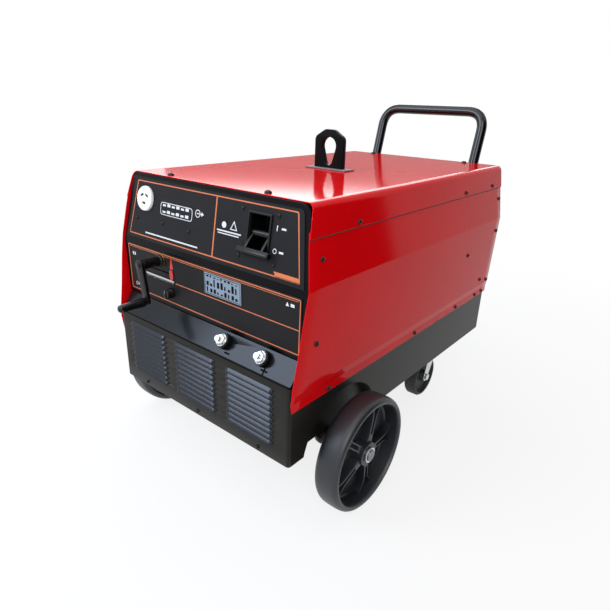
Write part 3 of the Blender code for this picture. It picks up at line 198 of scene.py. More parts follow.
# Closed-cell rubber gasket under the lifting eye: mid grey and dull.
GASKET = surface("closed_cell_rubber_grey", "#7F7577", "#766C6E", 0.70, 0.06, 1.0, 0.03)
# Urea moulded outlet face: clean warm white with a soft gloss.
UREA = surface("moulded_urea_white", "#EDEDEB", "#E6E6E2", 0.28, 0.04, 1.5, 0.002)
# Tinted acrylic window over a grey card.
ACRYLIC = surface("tinted_acrylic_window", "#7C8B9B", "#74828F", 0.14, 0.02, 6.0, 0.001)
# Bright zinc plating with a clear passivate: pale silver with faint cloudy patches.
ZINC = surface("bright_zinc_plate", "#D4D6D8", "#BEC2C6", 0.26, 0.07, 1.4, 0.010, 14.0, 1.0)
# Black zinc plated pan-head screws: nearly black, with a small soft highlight.
DARK_ZINC = surface("black_zinc_screw", "#1A1616", "#221D1D", 0.34, 0.06, 0.8, 0.006, 6.0, 0.5)
# Brushed aluminium scale strip: fine lines along its length.
ALUMINIUM = surface("brushed_aluminium", "#D2D4D6", "#C6C9CC", 0.30, 0.08, 0.8, 0.006, 20.0, 1.0,
                    (0.05, 1.0, 1.0))
# Mill-rolled steel: grey with rolling streaks.
STEEL = surface("mill_rolled_steel", "#8B8D90", "#7C7E82", 0.42, 0.10, 2.0, 0.012, 30.0, 1.0, (0.2, 1.0, 1.0))
# Varnished copper winding: reddish brown and glossy, with the turns as fine ridges.
COPPER = surface("varnished_copper_winding", "#9A5230", "#7E3F22", 0.30, 0.06, 3.0, 0.25, 25.0, 0.6,
                 (0.1, 0.1, 1.0))
# Turned brass bush.
BRASS = surface("turned_brass", "#C9A45A", "#B89348", 0.28, 0.06, 0.8, 0.006, 12.0, 1.0)
# Phenolic terminal board: brown with woven cloth showing faintly.
PHENOLIC = surface("phenolic_laminate", "#6B4226", "#5A371F", 0.45, 0.08, 0.9, 0.02, 8.0)
# Red moulded pointer.
POINTER = surface("moulded_red_acetal", "#C8322E", "#BE2B28", 0.35, 0.04, 1.2, 0.002)


# ---- modelling helpers ----
def deselect():
    if bpy.context.object and bpy.context.object.mode != "OBJECT":
        bpy.ops.object.mode_set(mode="OBJECT")
    bpy.ops.object.select_all(action="DESELECT")


def activate(obj):
    deselect()
    obj.select_set(True)
    bpy.context.view_layer.objects.active = obj
    return obj


def start_edit(obj, kind="FACE"):
    activate(obj)
    bpy.ops.object.mode_set(mode="EDIT")
    bpy.ops.mesh.select_mode(type=kind)
    bpy.ops.mesh.select_all(action="DESELECT")
    return obj


def pick_points(obj, test):
    """Selects the points of the mesh in edit mode whose place passes the test."""
    bm = bmesh.from_edit_mesh(obj.data)
    for point in bm.verts:
        if test(point.co):
            point.select = True
    bm.select_flush_mode()
    bmesh.update_edit_mesh(obj.data)


def apply_modifier(obj, kind, **settings):
    activate(obj)
    step = obj.modifiers.new(kind.lower(), kind)
    for key, value in settings.items():
        setattr(step, key, value)
    bpy.ops.object.modifier_apply(modifier=step.name)
    return obj


def thickened(obj, thickness=SHEET, offset=-1.0):
    return apply_modifier(obj, "SOLIDIFY", thickness=thickness, offset=offset)


def rounded(obj, width=0.0006, segments=2, angle=30.0):
    """Small rounds on an object's sharp edges."""
    return apply_modifier(obj, "BEVEL", width=width, segments=segments, limit_method="ANGLE",
                          angle_limit=math.radians(angle), harden_normals=False)


def cut(obj, cutter):
    apply_modifier(obj, "BOOLEAN", operation="DIFFERENCE", object=cutter, solver="EXACT")
    bpy.data.objects.remove(cutter, do_unlink=True)
    return obj


def settle(obj):
    """Applies the object's place to its mesh."""
    activate(obj)
    bpy.ops.object.transform_apply(location=True, rotation=True, scale=True)
    return obj


def linked(name, data):
    """New object in the scene that holds the data."""
    obj = bpy.data.objects.new(name, data)
    bpy.context.scene.collection.objects.link(obj)
    return obj


def twin(obj):
    """Copy of an object, with a mesh of its own."""
    made = obj.copy()
    made.data = obj.data.copy()
    bpy.context.scene.collection.objects.link(made)
    return made


def weld(obj, distance):
    """Merges doubled points and leaves the whole mesh selected in edit mode."""
    start_edit(obj)
    bpy.ops.mesh.select_all(action="SELECT")
    bpy.ops.mesh.remove_doubles(threshold=distance)


def clean(obj, distance=0.00001):
    """Merges doubled points and turns the normals outwards."""
    weld(obj, distance)
    bpy.ops.mesh.normals_make_consistent(inside=False)
    bpy.ops.object.mode_set(mode="OBJECT")


def join(objects):
    deselect()
    for obj in objects:
        obj.select_set(True)
    bpy.context.view_layer.objects.active = objects[0]
    bpy.ops.object.join()
    return objects[0]


def finish(obj, name, look, place=None, body="case", smooth=35.0):
    """Names the piece, gives it its look and its body, and leaves its place in its mesh."""
    settle(obj)
    if place is not None:
        obj.data.transform(place)
    clean(obj)
    activate(obj)
    bpy.ops.object.shade_smooth_by_angle(angle=math.radians(smooth))
    obj.name = name
    obj.data.name = name
    obj.data.materials.clear()
    obj.data.materials.append(look)
    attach(obj, body)
    deselect()
    return obj


def block(low, high):
    """Box from its two corners."""
    deselect()
    low, high = Vector(low), Vector(high)
    bpy.ops.mesh.primitive_cube_add(size=1.0, location=(low + high) / 2)
    obj = bpy.context.object
    obj.scale = high - low
    return settle(obj)


def rod(start, direction, length, radius, sides=32):
    """Cylinder from a point along a direction."""
    deselect()
    direction = Vector(direction).normalized()
    bpy.ops.mesh.primitive_cylinder_add(vertices=sides, radius=radius, depth=length,
                                        location=Vector(start) + direction * length / 2)
    obj = bpy.context.object
    obj.rotation_mode = "QUATERNION"
    obj.rotation_quaternion = direction.to_track_quat("Z", "Y")
    return settle(obj)


def turned(profile, sides=48, closed=False):
    """Turned shape about Z: a circle extruded and scaled from one (radius, height) point to the next."""
    deselect()
    radius, height = profile[0]
    bpy.ops.mesh.primitive_circle_add(vertices=sides, radius=radius, location=(0.0, 0.0, height))
    obj = settle(bpy.context.object)
    start_edit(obj, "VERT")
    bpy.ops.mesh.select_all(action="SELECT")
    steps = profile[1:] + (profile[:1] if closed else [])
    for next_radius, next_height in steps:
        bpy.ops.mesh.extrude_edges_move(TRANSFORM_OT_translate={"value": (0.0, 0.0, next_height - height)})
        scale = next_radius / radius
        bpy.ops.transform.resize(value=(scale, scale, 1.0), center_override=(0.0, 0.0, next_height))
        radius, height = next_radius, next_height
    if not closed:
        bpy.ops.mesh.edge_face_add()
        bpy.ops.mesh.select_all(action="DESELECT")
        first_radius, first_height = profile[0]
        pick_points(obj, lambda p: abs(p.z - first_height) < 1e-7 and abs(p.xy.length - first_radius) < 1e-6)
        bpy.ops.mesh.edge_face_add()
    clean(obj, 0.000005)
    return obj


def sheet_grid(across, along, shape):
    """Grid primitive whose point (u, v), each from 0 to 1, is moved to shape(u, v)."""
    deselect()
    bpy.ops.mesh.primitive_grid_add(x_subdivisions=across, y_subdivisions=along, size=1.0)
    obj = bpy.context.object
    for vertex in obj.data.vertices:
        vertex.co = shape(vertex.co.x + 0.5, vertex.co.y + 0.5)
    return obj


def tube(points, radius, sides):
    """Round tube or wire through points."""
    curve = bpy.data.curves.new("tube", "CURVE")
    curve.dimensions = "3D"
    curve.bevel_depth = radius
    curve.bevel_resolution = sides // 4
    curve.use_fill_caps = True
    spline = curve.splines.new("POLY")
    spline.points.add(len(points) - 1)
    for point, place in zip(spline.points, points):
        point.co = (*place, 1.0)
    activate(linked("tube", curve))
    bpy.ops.object.convert(target="MESH")
    return bpy.context.object


def flat_outline(loops, thickness, edge=0.0):
    """Flat plate in X and Z from outline and hole loops, its front face towards -Y at zero depth."""
    curve = bpy.data.curves.new("plate", "CURVE")
    curve.dimensions = "2D"
    curve.fill_mode = "BOTH"
    curve.extrude = thickness / 2 - edge
    curve.bevel_depth = edge
    curve.bevel_resolution = 3
    curve.offset = -edge
    for loop in loops:
        spline = curve.splines.new("POLY")
        spline.points.add(len(loop) - 1)
        for point, (x, y) in zip(spline.points, loop):
            point.co = (x, y, 0.0, 1.0)
        spline.use_cyclic_u = True
    activate(linked("plate", curve))
    bpy.ops.object.convert(target="MESH")
    obj = bpy.context.object
    obj.data.transform(shift(0.0, thickness / 2, 0.0) @ spin(90, "X"))
    return obj


def arc(centre, radius, start, end, count):
    """Points on an arc, angles in degrees."""
    turns = [math.radians(start + (end - start) * i / count) for i in range(count + 1)]
    return [(centre[0] + radius * math.cos(a), centre[1] + radius * math.sin(a)) for a in turns]


BESIDE_BEND, BESIDE_EDGE = 0.0006, 0.0015       # distance of the extra rows from a bend and from an edge


def corner_curve(first, corner, last, count):
    """Points of the curve that rounds a corner, from a point on one side of it to one on the other."""
    shares = [i / count for i in range(count + 1)]
    return [first.lerp(corner, t).lerp(corner.lerp(last, t), t) for t in shares]


def fold_profile(points, radii, count=8):
    """Polyline whose inner corners are rounded; a row beside each bend keeps the flats flat."""
    made = [Vector(points[0])]
    for before, corner, after, radius in zip(points, points[1:], points[2:], radii):
        before, corner, after = Vector(before), Vector(corner), Vector(after)
        into, out = (before - corner).normalized(), (after - corner).normalized()
        half = into.angle(out) / 2
        reach = radius / math.tan(half)
        first, last = corner + into * reach, corner + out * reach
        made.append(first + into * BESIDE_BEND)
        made += corner_curve(first, corner, last, count)
        made.append(last + out * BESIDE_BEND)
    made.append(Vector(points[-1]))
    near = made[0].lerp(made[1], min(0.4, BESIDE_EDGE / (made[1] - made[0]).length))
    far = made[-1].lerp(made[-2], min(0.4, BESIDE_EDGE / (made[-1] - made[-2]).length))
    return [made[0], near] + made[1:-1] + [far, made[-1]]


def held_ends(share, count, gap):
    """Row share whose first and last rows lie close to the ends, which keeps the flat flat to its edges."""
    row = round(share * count)
    if row in (0, count):
        return row / count
    return min(1.0 - gap, max(gap, (row - 1) / (count - 2)))


def profile_at(profile, share):
    """Point at a share of the profile's points."""
    place = share * (len(profile) - 1)
    index = min(int(place), len(profile) - 2)
    return profile[index].lerp(profile[index + 1], place - index)


def dress(name, look, width=0.0, segments=2):
    """Gives a CAD node its finish, and small rounds on its edges where width is set."""
    obj = NODES[name]
    obj.data.materials.clear()
    obj.data.materials.append(look)
    if width:
        merge = obj.modifiers.new("merge", "WELD")
        merge.merge_threshold = 0.00002
        bevel = obj.modifiers.new("rounds", "BEVEL")
        bevel.width = width
        bevel.segments = segments
        bevel.limit_method = "ANGLE"
        bevel.angle_limit = math.radians(30.0)
        bevel.use_clamp_overlap = True
    return obj


SIDES = (("left", -1), ("right", 1))
BODY = shift(0.0, FRONT, 0.0)
ALONG_Y = spin(-90, "X")     # turns a shape built up Z so that it points into the machine
PRINT = 0.0003                                      # thickness of printed lines


def rounded_loop(corners, radius, count=5):
    """Closed outline with its corners rounded."""
    points = [Vector(corner) for corner in corners]
    made = []
    for index, corner in enumerate(points):
        before, after = points[index - 1], points[(index + 1) % len(points)]
        into, out = (before - corner).normalized(), (after - corner).normalized()
        made += corner_curve(corner + into * radius, corner, corner + out * radius, count)
    return made


def between(table, key):
    """Value at key along a table of (key, value) pairs."""
    for (low, first), (high, last) in zip(table, table[1:]):
        if key <= high:
            return first + (last - first) * max(0.0, key - low) / (high - low)
    return table[-1][1]


def copies(obj, places):
    """One mesh made of the object repeated at each place; the first object is used up."""
    made = [twin(obj) for _ in places]
    for piece, place in zip(made, places):
        piece.data.transform(place)
    bpy.data.objects.remove(obj, do_unlink=True)
    return join(made)


# ---- red sheet metal ----
SIDE_FRONT = ((0.2865, 0.004), (0.306, 0.001), (0.333, 0.0), (0.40, 0.0117), (0.475, 0.0226), (0.515, 0.030),
              (0.589, 0.041), (0.648, 0.0517))


def side_skin(name, side):
    """Folded side: flange, joggle, long crease, and a front edge that follows the front panel's bend."""
    corners = [(FLANGE_X, FLANGE_Z[0]), (FLANGE_X, FLANGE_Z[1]), (JOGGLE_X, JOGGLE_Z), (CREASE_X, CREASE_Z),
               (side_x(SEAM_Z + 0.012), SEAM_Z + 0.012)]
    profile = fold_profile(corners, (0.006, 0.006, 0.020))
    rows = []
    for here, there in zip(profile, profile[1:]):
        steps = max(1, round((there - here).length / 0.012))
        rows += [here.lerp(there, i / steps) for i in range(steps)]
    rows.append(profile[-1])

    def shape(u, v):
        x, z = profile_at(rows, v)
        near = between(SIDE_FRONT, z)
        return side * x, near + (CASE_REAR - near) * u, z

    obj = sheet_grid(30, len(rows) - 1, shape)
    thickened(obj, SHEET, -side)
    rounded(obj, 0.0006, 2, 60)
    finish(obj, f"side_skin_{name}", RED, BODY)
    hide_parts(f"side_panel_{name}")


def roof_skin():
    """Roof with rounded long edges and side flanges over the side panels, cut for the lifting eye."""
    low_x = side_x(SEAM_Z) + COVER_STEP
    top_x = side_x(CASE_TOP_Z) + COVER_STEP
    corners = [(low_x, SEAM_Z), (top_x, CASE_TOP_Z), (-top_x, CASE_TOP_Z), (-low_x, SEAM_Z)]
    profile = fold_profile(corners, (COVER_RADIUS, COVER_RADIUS), 12)
    behind_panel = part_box("top_cover")[0].y - FRONT

    def shape(u, v):
        x, z = profile_at(profile, v)
        share = min(1.0, max(0.0, (z - 0.640) / (CASE_TOP_Z - 0.640)))
        near = between(SIDE_FRONT, z) * (1.0 - share) + behind_panel * share
        return x, near + (CASE_REAR - near) * held_ends(u, 26, 0.003), z

    obj = sheet_grid(26, len(profile) - 1, shape)
    thickened(obj)
    rounded(obj, 0.0006, 2, 60)
    eye_low, eye_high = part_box("lifting_eye")
    cut(obj, block((eye_low.x - 0.0003, eye_low.y - FRONT - 0.0003, 0.63),
                   (eye_high.x + 0.0003, eye_high.y - FRONT + 0.0003, 0.70)))
    finish(obj, "roof_skin", RED, BODY)
    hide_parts("top_cover")


def seam_shadow_strip(name, side):
    """Thin black strip just under the roof's side flange: painted shadow of the seam where the flange laps
    the side panel.
    """
    def shape(u, v):
        z = SEAM_Z + 0.0040 - 0.0064 * v
        near = between(SIDE_FRONT, z) + 0.003
        return side * (side_x(z) + 0.0004), near + (CASE_REAR - 0.002 - near) * u, z

    obj = sheet_grid(2, 3, shape)
    thickened(obj, 0.0006, side)
    finish(obj, f"seam_shadow_strip_{name}", TYRE, BODY)


for name, side in SIDES:
    side_skin(name, side)
for name, side in SIDES:
    seam_shadow_strip(name, side)
roof_skin()


# ---- black base and louvred front ----
LOUVRE_GROUPS = (-0.167, 0.0, 0.167)
LOUVRE_ROWS = [0.195 + row * 0.0132 for row in range(10)]


def front_apron():
    """Louvred front, bent round both front corners, with its thirty air slots."""
    bend = 0.008
    corners = [(-BASE_HALF_WIDTH, bend + 0.0008), (-BASE_HALF_WIDTH, 0.0), (BASE_HALF_WIDTH, 0.0),
               (BASE_HALF_WIDTH, bend + 0.0008)]
    profile = fold_profile(corners, (bend, bend), 10)

    def shape(u, v):
        x, y = profile_at(profile, u)
        return x, y, BASE_BOTTOM_Z + (LOUVRE_TOP_Z - BASE_BOTTOM_Z) * v

    obj = sheet_grid(len(profile) - 1, 6, shape)
    thickened(obj, 0.0025)
    slots = [block((x - 0.061, -0.004, z), (x + 0.061, 0.006, z + 0.005))
             for x in LOUVRE_GROUPS for z in LOUVRE_ROWS]
    cut(obj, join(slots))
    rounded(obj, 0.0005, 2, 60)
    finish(obj, "front_apron", BLACK, BODY)
    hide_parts("louvre_panel")


def louvre_hoods():
    """Pressed louvres: convex hoods with domed ends, open downward over the slots."""
    hood = [Vector(p) for p in ((0.0, 0.0112), (-0.0006, 0.0110), (-0.0014, 0.0102), (-0.0056, 0.0046),
                                (-0.0063, 0.0034), (-0.0065, 0.0022))]
    half, dome = 0.0655, 0.0075

    def shape(u, v):
        x = -half * math.cos(math.pi * u)
        beyond = max(0.0, abs(x) - half + dome) / dome
        fade = math.sqrt(max(0.0, 1.0 - beyond * beyond))
        y, z = profile_at(hood, v)
        return x, y * fade - 0.0001, 0.0050 + (z - 0.0050) * (0.35 + 0.65 * fade)

    obj = sheet_grid(32, 10, shape)
    thickened(obj, 0.0010, 1.0)
    places = [BODY @ shift(x, 0.0, z) for x in LOUVRE_GROUPS for z in LOUVRE_ROWS]
    finish(copies(obj, places), "louvre_hoods", HOOD, smooth=50.0)


def tray_skin():
    """Base tray of the frame, shortened where the bent front corners begin."""
    obj = twin(NODES["base_tray"])
    obj.parent = None
    weld(obj, 0.00002)
    bpy.ops.object.mode_set(mode="OBJECT")
    cut(obj, block(at(-0.4, -0.05, 0.1), at(0.4, 0.0091, 0.4)))
    finish(obj, "tray_skin", BLACK, smooth=8.0)
    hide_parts("base_tray")


def ledge_skin():
    """Sloping output ledge with a rounded front fold."""
    corners = [(0.0030, 0.3300), (0.0030, 0.3407), (0.0332, 0.3818)]
    profile = fold_profile(corners, (0.004,), 8)

    def shape(u, v):
        y, z = profile_at(profile, v)
        half = 0.266 + 0.0085 * min(1.0, max(0.0, (z - 0.3395) / 0.004))
        return (2 * held_ends(u, 8, 0.004) - 1) * half, y, z

    obj = sheet_grid(8, len(profile) - 1, shape)
    thickened(obj)
    for _, x in STUDS:
        hole = rod((0.0, -0.02, 0.0), (0.0, 1.0, 0.0), 0.04, 0.0113)
        hole.data.transform(BODY.inverted() @ LEDGE @ shift(x, 0.0, STUD_UP))
        cut(obj, hole)
    rounded(obj, 0.0005, 2, 60)
    finish(obj, "ledge_skin", LEDGE_SKY_TINT, BODY)
    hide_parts("output_ledge")


def front_flange():
    """Return flange of the black front panel, folded back inside the red sheet metal."""
    inset, radius = 0.003, 0.022
    low_z, top_z = 0.3840, CASE_TOP_Z - SHEET
    corners = [(side_x(low_z) - inset, low_z), (side_x(FRONT_BEND_Z) - inset, FRONT_BEND_Z),
               (side_x(top_z) - inset, top_z)]
    corners += [(-x, z) for x, z in reversed(corners)]
    profile = fold_profile(corners, (0.003, radius, radius, 0.003), 8)

    def shape(u, v):
        x, z = profile_at(profile, v)
        return x, front_y(z) + 0.0005 + 0.017 * u, z

    obj = sheet_grid(3, len(profile) - 1, shape)
    thickened(obj)
    finish(obj, "front_flange", BORDER, BODY)


front_flange()
front_apron()
louvre_hoods()
tray_skin()
ledge_skin()


# ---- lifting eye, gasket and push handle ----
def lifting_eye():
    """Steel plate with sloping shoulders and an egg-shaped hole."""
    low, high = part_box("lifting_eye")
    half = high.x
    shoulder_z, top_half = 0.7455, 0.013
    corners = [(half, low.z), (half, shoulder_z), (top_half, high.z)]
    corners += [(-x, z) for x, z in reversed(corners)]
    outline = [Vector((-half, low.z)), Vector((half, low.z))]
    outline += fold_profile(corners, (0.016,) * 4, 8)[1:-1]
    slant = math.degrees(math.asin(0.010 / 0.035))
    hole = arc((0.0, 0.725), 0.021, -slant, 180 + slant, 32)
    hole += arc((0.0, 0.690), 0.011, 180 + slant, 360 - slant, 20)
    obj = flat_outline([outline, hole], high.y - low.y, 0.0010)
    finish(obj, "lifting_eye_plate", BORDER, shift(0.0, low.y, 0.0))
    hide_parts("lifting_eye")


def push_handle():
    """Bent tube: two legs that lean back, joined by a level grip."""
    low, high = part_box("push_handle")
    radius = 0.0145
    x, near, far, top = high.x - radius, 0.940, high.y - FRONT - radius, high.z - radius
    corners = [(-x, near, low.z), (-x, near, 0.640), (-x, far, top)]
    corners += [(x, y, z) for _, y, z in reversed(corners)]
    path = fold_profile(corners, (0.060, 0.056, 0.056, 0.060), 12)
    obj = tube(path, radius, 28)
    finish(obj, "handle_tube", TUBE, BODY, smooth=50.0)
    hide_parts("push_handle")


lifting_eye()
push_handle()
dress("eye_gasket", GASKET, 0.0008)
for name, side in SIDES:
    dress(f"handle_clamp_{name}", BLACK, 0.0015, 3)


# ---- front panel, nameplates and their print ----
def up_slope(z):
    """Distance up the leaning panel for a height z."""
    return (z - FRONT_BEND_Z) / math.cos(FRONT_LEAN)


PRINT_LIFT = shift(0.0, -PRINT * 0.8, 0.0)      # leaves a fifth of the print inside its face
UPPER_FACE = UPPER @ shift(0.0, -PLATE_FACE, 0.0) @ PRINT_LIFT
LOWER_FACE = LOWER @ shift(0.0, -PLATE_FACE, 0.0) @ PRINT_LIFT


def ink(name, shapes, look, place):
    """Printed shapes, each an outline with or without holes."""
    made = [flat_outline(loops, PRINT) for loops in shapes]
    finish(join(made), name, look, place, smooth=20.0)


def frame_line(corners, width, radius=0.004):
    """Closed border line of even width round a nearly square outline."""
    middle_x = sum(x for x, _ in corners) / len(corners)
    middle_z = sum(z for _, z in corners) / len(corners)
    inner = [(x - math.copysign(width, x - middle_x), z - math.copysign(width, z - middle_z))
             for x, z in corners]
    return [rounded_loop(corners, radius), rounded_loop(inner, radius - width * 0.6)]


def bar(x0, x1, z0, z1):
    """Solid rectangle between two widths and two heights."""
    return [[(x0, z0), (x1, z0), (x1, z1), (x0, z1)]]


def spot(x, z, radius, hole=0.0):
    """Disc, or a ring where it has a hole."""
    loops = [arc((x, z), radius, 0, 345, 23)]
    if hole:
        loops.append(arc((x, z), hole, 0, 345, 23))
    return loops


def on_slope(points):
    """The points of an outline, their heights turned into distances up the leaning panel."""
    return [(x, up_slope(z)) for x, z in points]


def slope_bar(x0, x1, z0, z1):
    return bar(x0, x1, up_slope(z0), up_slope(z1))


def upper_print():
    """Border and plain marks of the upper nameplate: framed bars, ring with pointer, disc and triangle."""
    top, low = up_slope(0.6515), up_slope(0.530)
    border = [(-0.261, low), (0.261, low), (0.2386, top), (-0.2386, top)]
    corner_patch = on_slope([(0.203, 0.530), (0.259, 0.530), (0.2570, 0.5395), (0.197, 0.5395)])
    ink("upper_border_print", [frame_line(border, 0.0024), bar(0.0272, 0.0306, low + 0.002, top - 0.002),
                               [corner_patch]], ORANGE, UPPER_FACE)
    marks = [slope_bar(-0.200, -0.018, 0.5385, 0.5415)]
    for z in (0.5925, 0.6065):
        for step in range(6):
            x, base = -0.142 + 0.0155 * step, up_slope(z)
            marks.append(bar(x, x + 0.0105, base, base + 0.0042 + 0.002 * (step % 2)))
    marks.append([rounded_loop(slope_bar(*sides)[0], radius) for radius, sides in (
        (0.008, (-0.150, -0.042, 0.588, 0.615)), (0.007, (-0.1485, -0.0435, 0.5895, 0.6135)))])
    marks += [spot(-0.025, up_slope(0.608), 0.0080, 0.0064), slope_bar(-0.0285, -0.0135, 0.6072, 0.6090),
              [on_slope([(-0.0135, 0.6035), (-0.0060, 0.6081), (-0.0135, 0.6127)])]]
    marks += [spot(0.0555, up_slope(0.5995), 0.0062), slope_bar(0.0365, 0.104, 0.5862, 0.5888),
              slope_bar(0.0395, 0.099, 0.5815, 0.5835),
              [on_slope([(0.073, 0.593), (0.093, 0.593), (0.083, 0.611)]),
               on_slope([(0.076, 0.5947), (0.083, 0.607), (0.090, 0.5947)])]]
    marks += [slope_bar(0.1925, 0.1945, 0.611, 0.621), slope_bar(0.204, 0.2145, 0.6145, 0.618),
              spot(0.1935, up_slope(0.575), 0.0048, 0.0034), slope_bar(0.204, 0.2145, 0.573, 0.5765)]
    ink("upper_marks_print", marks, WHITE_INK, UPPER_FACE)


def lower_print():
    """Border and plain marks of the lower nameplate, with three rows of bars in place of a title."""
    border = [(-0.2665, 0.394), (0.2665, 0.394), (0.2680, 0.504), (-0.2680, 0.504)]
    ink("lower_border_print", [frame_line(border, 0.0022), bar(-0.093, 0.2650, 0.4430, 0.4450),
                               bar(-0.262, 0.262, 0.4985, 0.4996)], ORANGE, LOWER_FACE)
    marks = [bar(x, x + 0.004, 0.479, 0.4865) for x in (-0.252, -0.2445)]
    marks += [spot(-0.245, 0.409, 0.0042, 0.0030), bar(-0.238, -0.229, 0.4065, 0.4115)]
    marks += [[[(0.2320, 0.4845), (0.2400, 0.4845), (0.2360, 0.4925)]], bar(0.2440, 0.2530, 0.4850, 0.4910)]
    for row, (low, high) in enumerate(((0.4550, 0.4625), (0.4670, 0.4800), (0.4845, 0.4930))):
        for step in range(8):
            x = 0.0135 + step * 0.0127
            tall = (high - low) * (1.0, 0.6, 0.85, 0.45)[(step + row) % 4]
            marks.append(bar(x, x + 0.0088, low, low + tall))
    ink("lower_marks_print", marks, WHITE_INK, LOWER_FACE)


def scale_ticks():
    """Graduations of the current scale, with every fifth longer."""
    low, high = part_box("scale_plate")
    ticks = []
    for step in range(21):
        x = low.x + 0.006 + step * (high.x - low.x - 0.012) / 20
        tall = 0.0042 if step % 5 == 0 else 0.0024
        ticks.append(bar(x - 0.0003, x + 0.0003, low.z + 0.0056 - tall, low.z + 0.0056))
    ink("scale_graduations", ticks, WHITE_INK, shift(0.0, low.y - 0.0002, 0.0))
    strip = flat_outline(bar(low.x, high.x, low.z + 0.0062, high.z), 0.0006, 0.0001)
    finish(strip, "scale_bright_strip", ALUMINIUM, shift(0.0, low.y - 0.0005, 0.0))


def window_bars():
    """Generic bar pattern on the display window."""
    low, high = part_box("display_window")
    wide, tall = high.x - low.x, high.z - low.z
    edge = bar(low.x + 0.002, high.x - 0.002, low.z + 0.002, high.z - 0.002)[0]
    shapes = [frame_line(edge, 0.0010, 0.0015)]
    for row, (base, share) in enumerate(((0.12, 0.22), (0.42, 0.34), (0.82, 0.10))):
        for step in range(9):
            x = low.x + wide * (0.07 + 0.098 * step)
            height = tall * share * (1.0, 0.55, 0.8, 0.35, 0.9)[(step * 2 + row) % 5]
            shapes.append(bar(x, x + wide * (0.060 if (step + row) % 3 else 0.035), low.z + tall * base,
                              low.z + tall * base + height))
    ink("window_pattern", shapes, DARK_INK, shift(0.0, low.y - 0.0002, 0.0))


def ledge_marks():
    """Minus and plus beside the output studs."""
    strokes = [bar(0.089, 0.104, 0.0078, 0.0116), bar(0.192, 0.210, 0.0072, 0.0110),
               bar(0.1991, 0.2029, 0.0002, 0.0178)]
    ink("polarity_marks", strokes, DARK_INK, LEDGE @ PRINT_LIFT)


dress("front_panel", BORDER, 0.0012, 3)
dress("upper_nameplate", PLATE, 0.0004)
dress("lower_nameplate", PLATE, 0.0004)
dress("scale_plate", PLATE, 0.0003)
dress("display_window", ACRYLIC, 0.0005)
upper_print()
lower_print()
scale_ticks()
window_bars()
ledge_marks()


# ---- controls ----
CRANK_X, CRANK_Z = -0.140, 0.488
GRIP_X, GRIP_Z = CRANK_X + 0.0155, CRANK_Z - 0.078


def crank():
    """Flat crank arm with its long hub sleeve, and the tapered grip on its pin."""
    sleeve = turned([(0.0078, 0.0), (0.0106, 0.0), (0.0112, 0.0008), (0.0112, 0.0410), (0.0130, 0.0425),
                     (0.0138, 0.0440), (0.0138, 0.0455), (0.0078, 0.0455)], 40, closed=True)
    sleeve.data.transform(shift(CRANK_X, -0.0180, CRANK_Z) @ ALONG_Y)
    aim = math.degrees(math.atan2(GRIP_Z - CRANK_Z, GRIP_X - CRANK_X))
    outline = arc((0, 0), 0.0124, aim + 78, aim + 282, 24)
    outline += arc((GRIP_X - CRANK_X, GRIP_Z - CRANK_Z), 0.0084, aim - 90, aim + 90, 16)
    arm = flat_outline([outline], 0.0080, 0.0014)
    arm.data.transform(shift(CRANK_X, -0.0260, CRANK_Z))
    cap = turned([(0.0004, 0.0), (0.0050, 0.0002), (0.0066, 0.0010), (0.0070, 0.0025)], 32)
    cap.data.transform(shift(CRANK_X, -0.0282, CRANK_Z) @ ALONG_Y)
    hub = join([arm, sleeve, cap])
    finish(hub, "crank_arm_moulding", NYLON, BODY, "crank")
    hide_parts("crank_arm")
    grip = turned([(0.0008, 0.0), (0.0050, 0.0004), (0.0074, 0.0022), (0.0084, 0.0052), (0.0087, 0.0100),
                   (0.0088, 0.0220), (0.0094, 0.0380), (0.0101, 0.0500), (0.0104, 0.0560), (0.0100, 0.0610),
                   (0.0088, 0.0640), (0.0082, 0.0655)], 40)
    finish(grip, "crank_grip_moulding", TUBE,
           BODY @ shift(GRIP_X, -0.0920, GRIP_Z) @ ALONG_Y, "grip", smooth=50.0)
    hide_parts("crank_grip")


def bush_shroud():
    """Black ring over the crank bush, which leaves a thin brass edge."""
    low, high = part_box("crank_bush")
    outer = (high.x - low.x) / 2 - 0.0003
    ring = turned([(0.0090, 0.0), (outer - 0.0006, 0.0), (outer, 0.0006), (outer, 0.0012), (0.0090, 0.0012)],
                  48, closed=True)
    finish(ring, "crank_bush_shroud", NYLON,
           shift((low.x + high.x) / 2, low.y - 0.0010, (low.z + high.z) / 2) @ ALONG_Y)


def pointer():
    """Red pointer that slides in its slot, and the fixed printed mark above it."""
    outline = [(-0.0036, 0.4490), (0.0040, 0.4490), (0.0068, 0.4580), (0.0052, 0.4722), (-0.0052, 0.4722),
               (-0.0062, 0.4580)]
    blade = flat_outline([rounded_loop(outline, 0.0010, 3)], 0.0014, 0.0003)
    stem = block((-0.0012, 0.0010, 0.4612), (0.0012, 0.0085, 0.4638))
    slider = block((-0.0060, 0.0068, 0.4565), (0.0060, 0.0105, 0.4685))
    obj = join([blade, stem, slider])
    place = placed(-0.105, FRONT_DEPTH - 0.0036, 0.0)
    finish(obj, "pointer_blade", POINTER, place, "pointer")
    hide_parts("current_pointer")
    mark = [(-0.1102, 0.4742), (-0.0998, 0.4742), (-0.1024, 0.4980), (-0.1066, 0.4980)]
    ink("pointer_print", [[mark]], POINTER, LOWER_FACE)


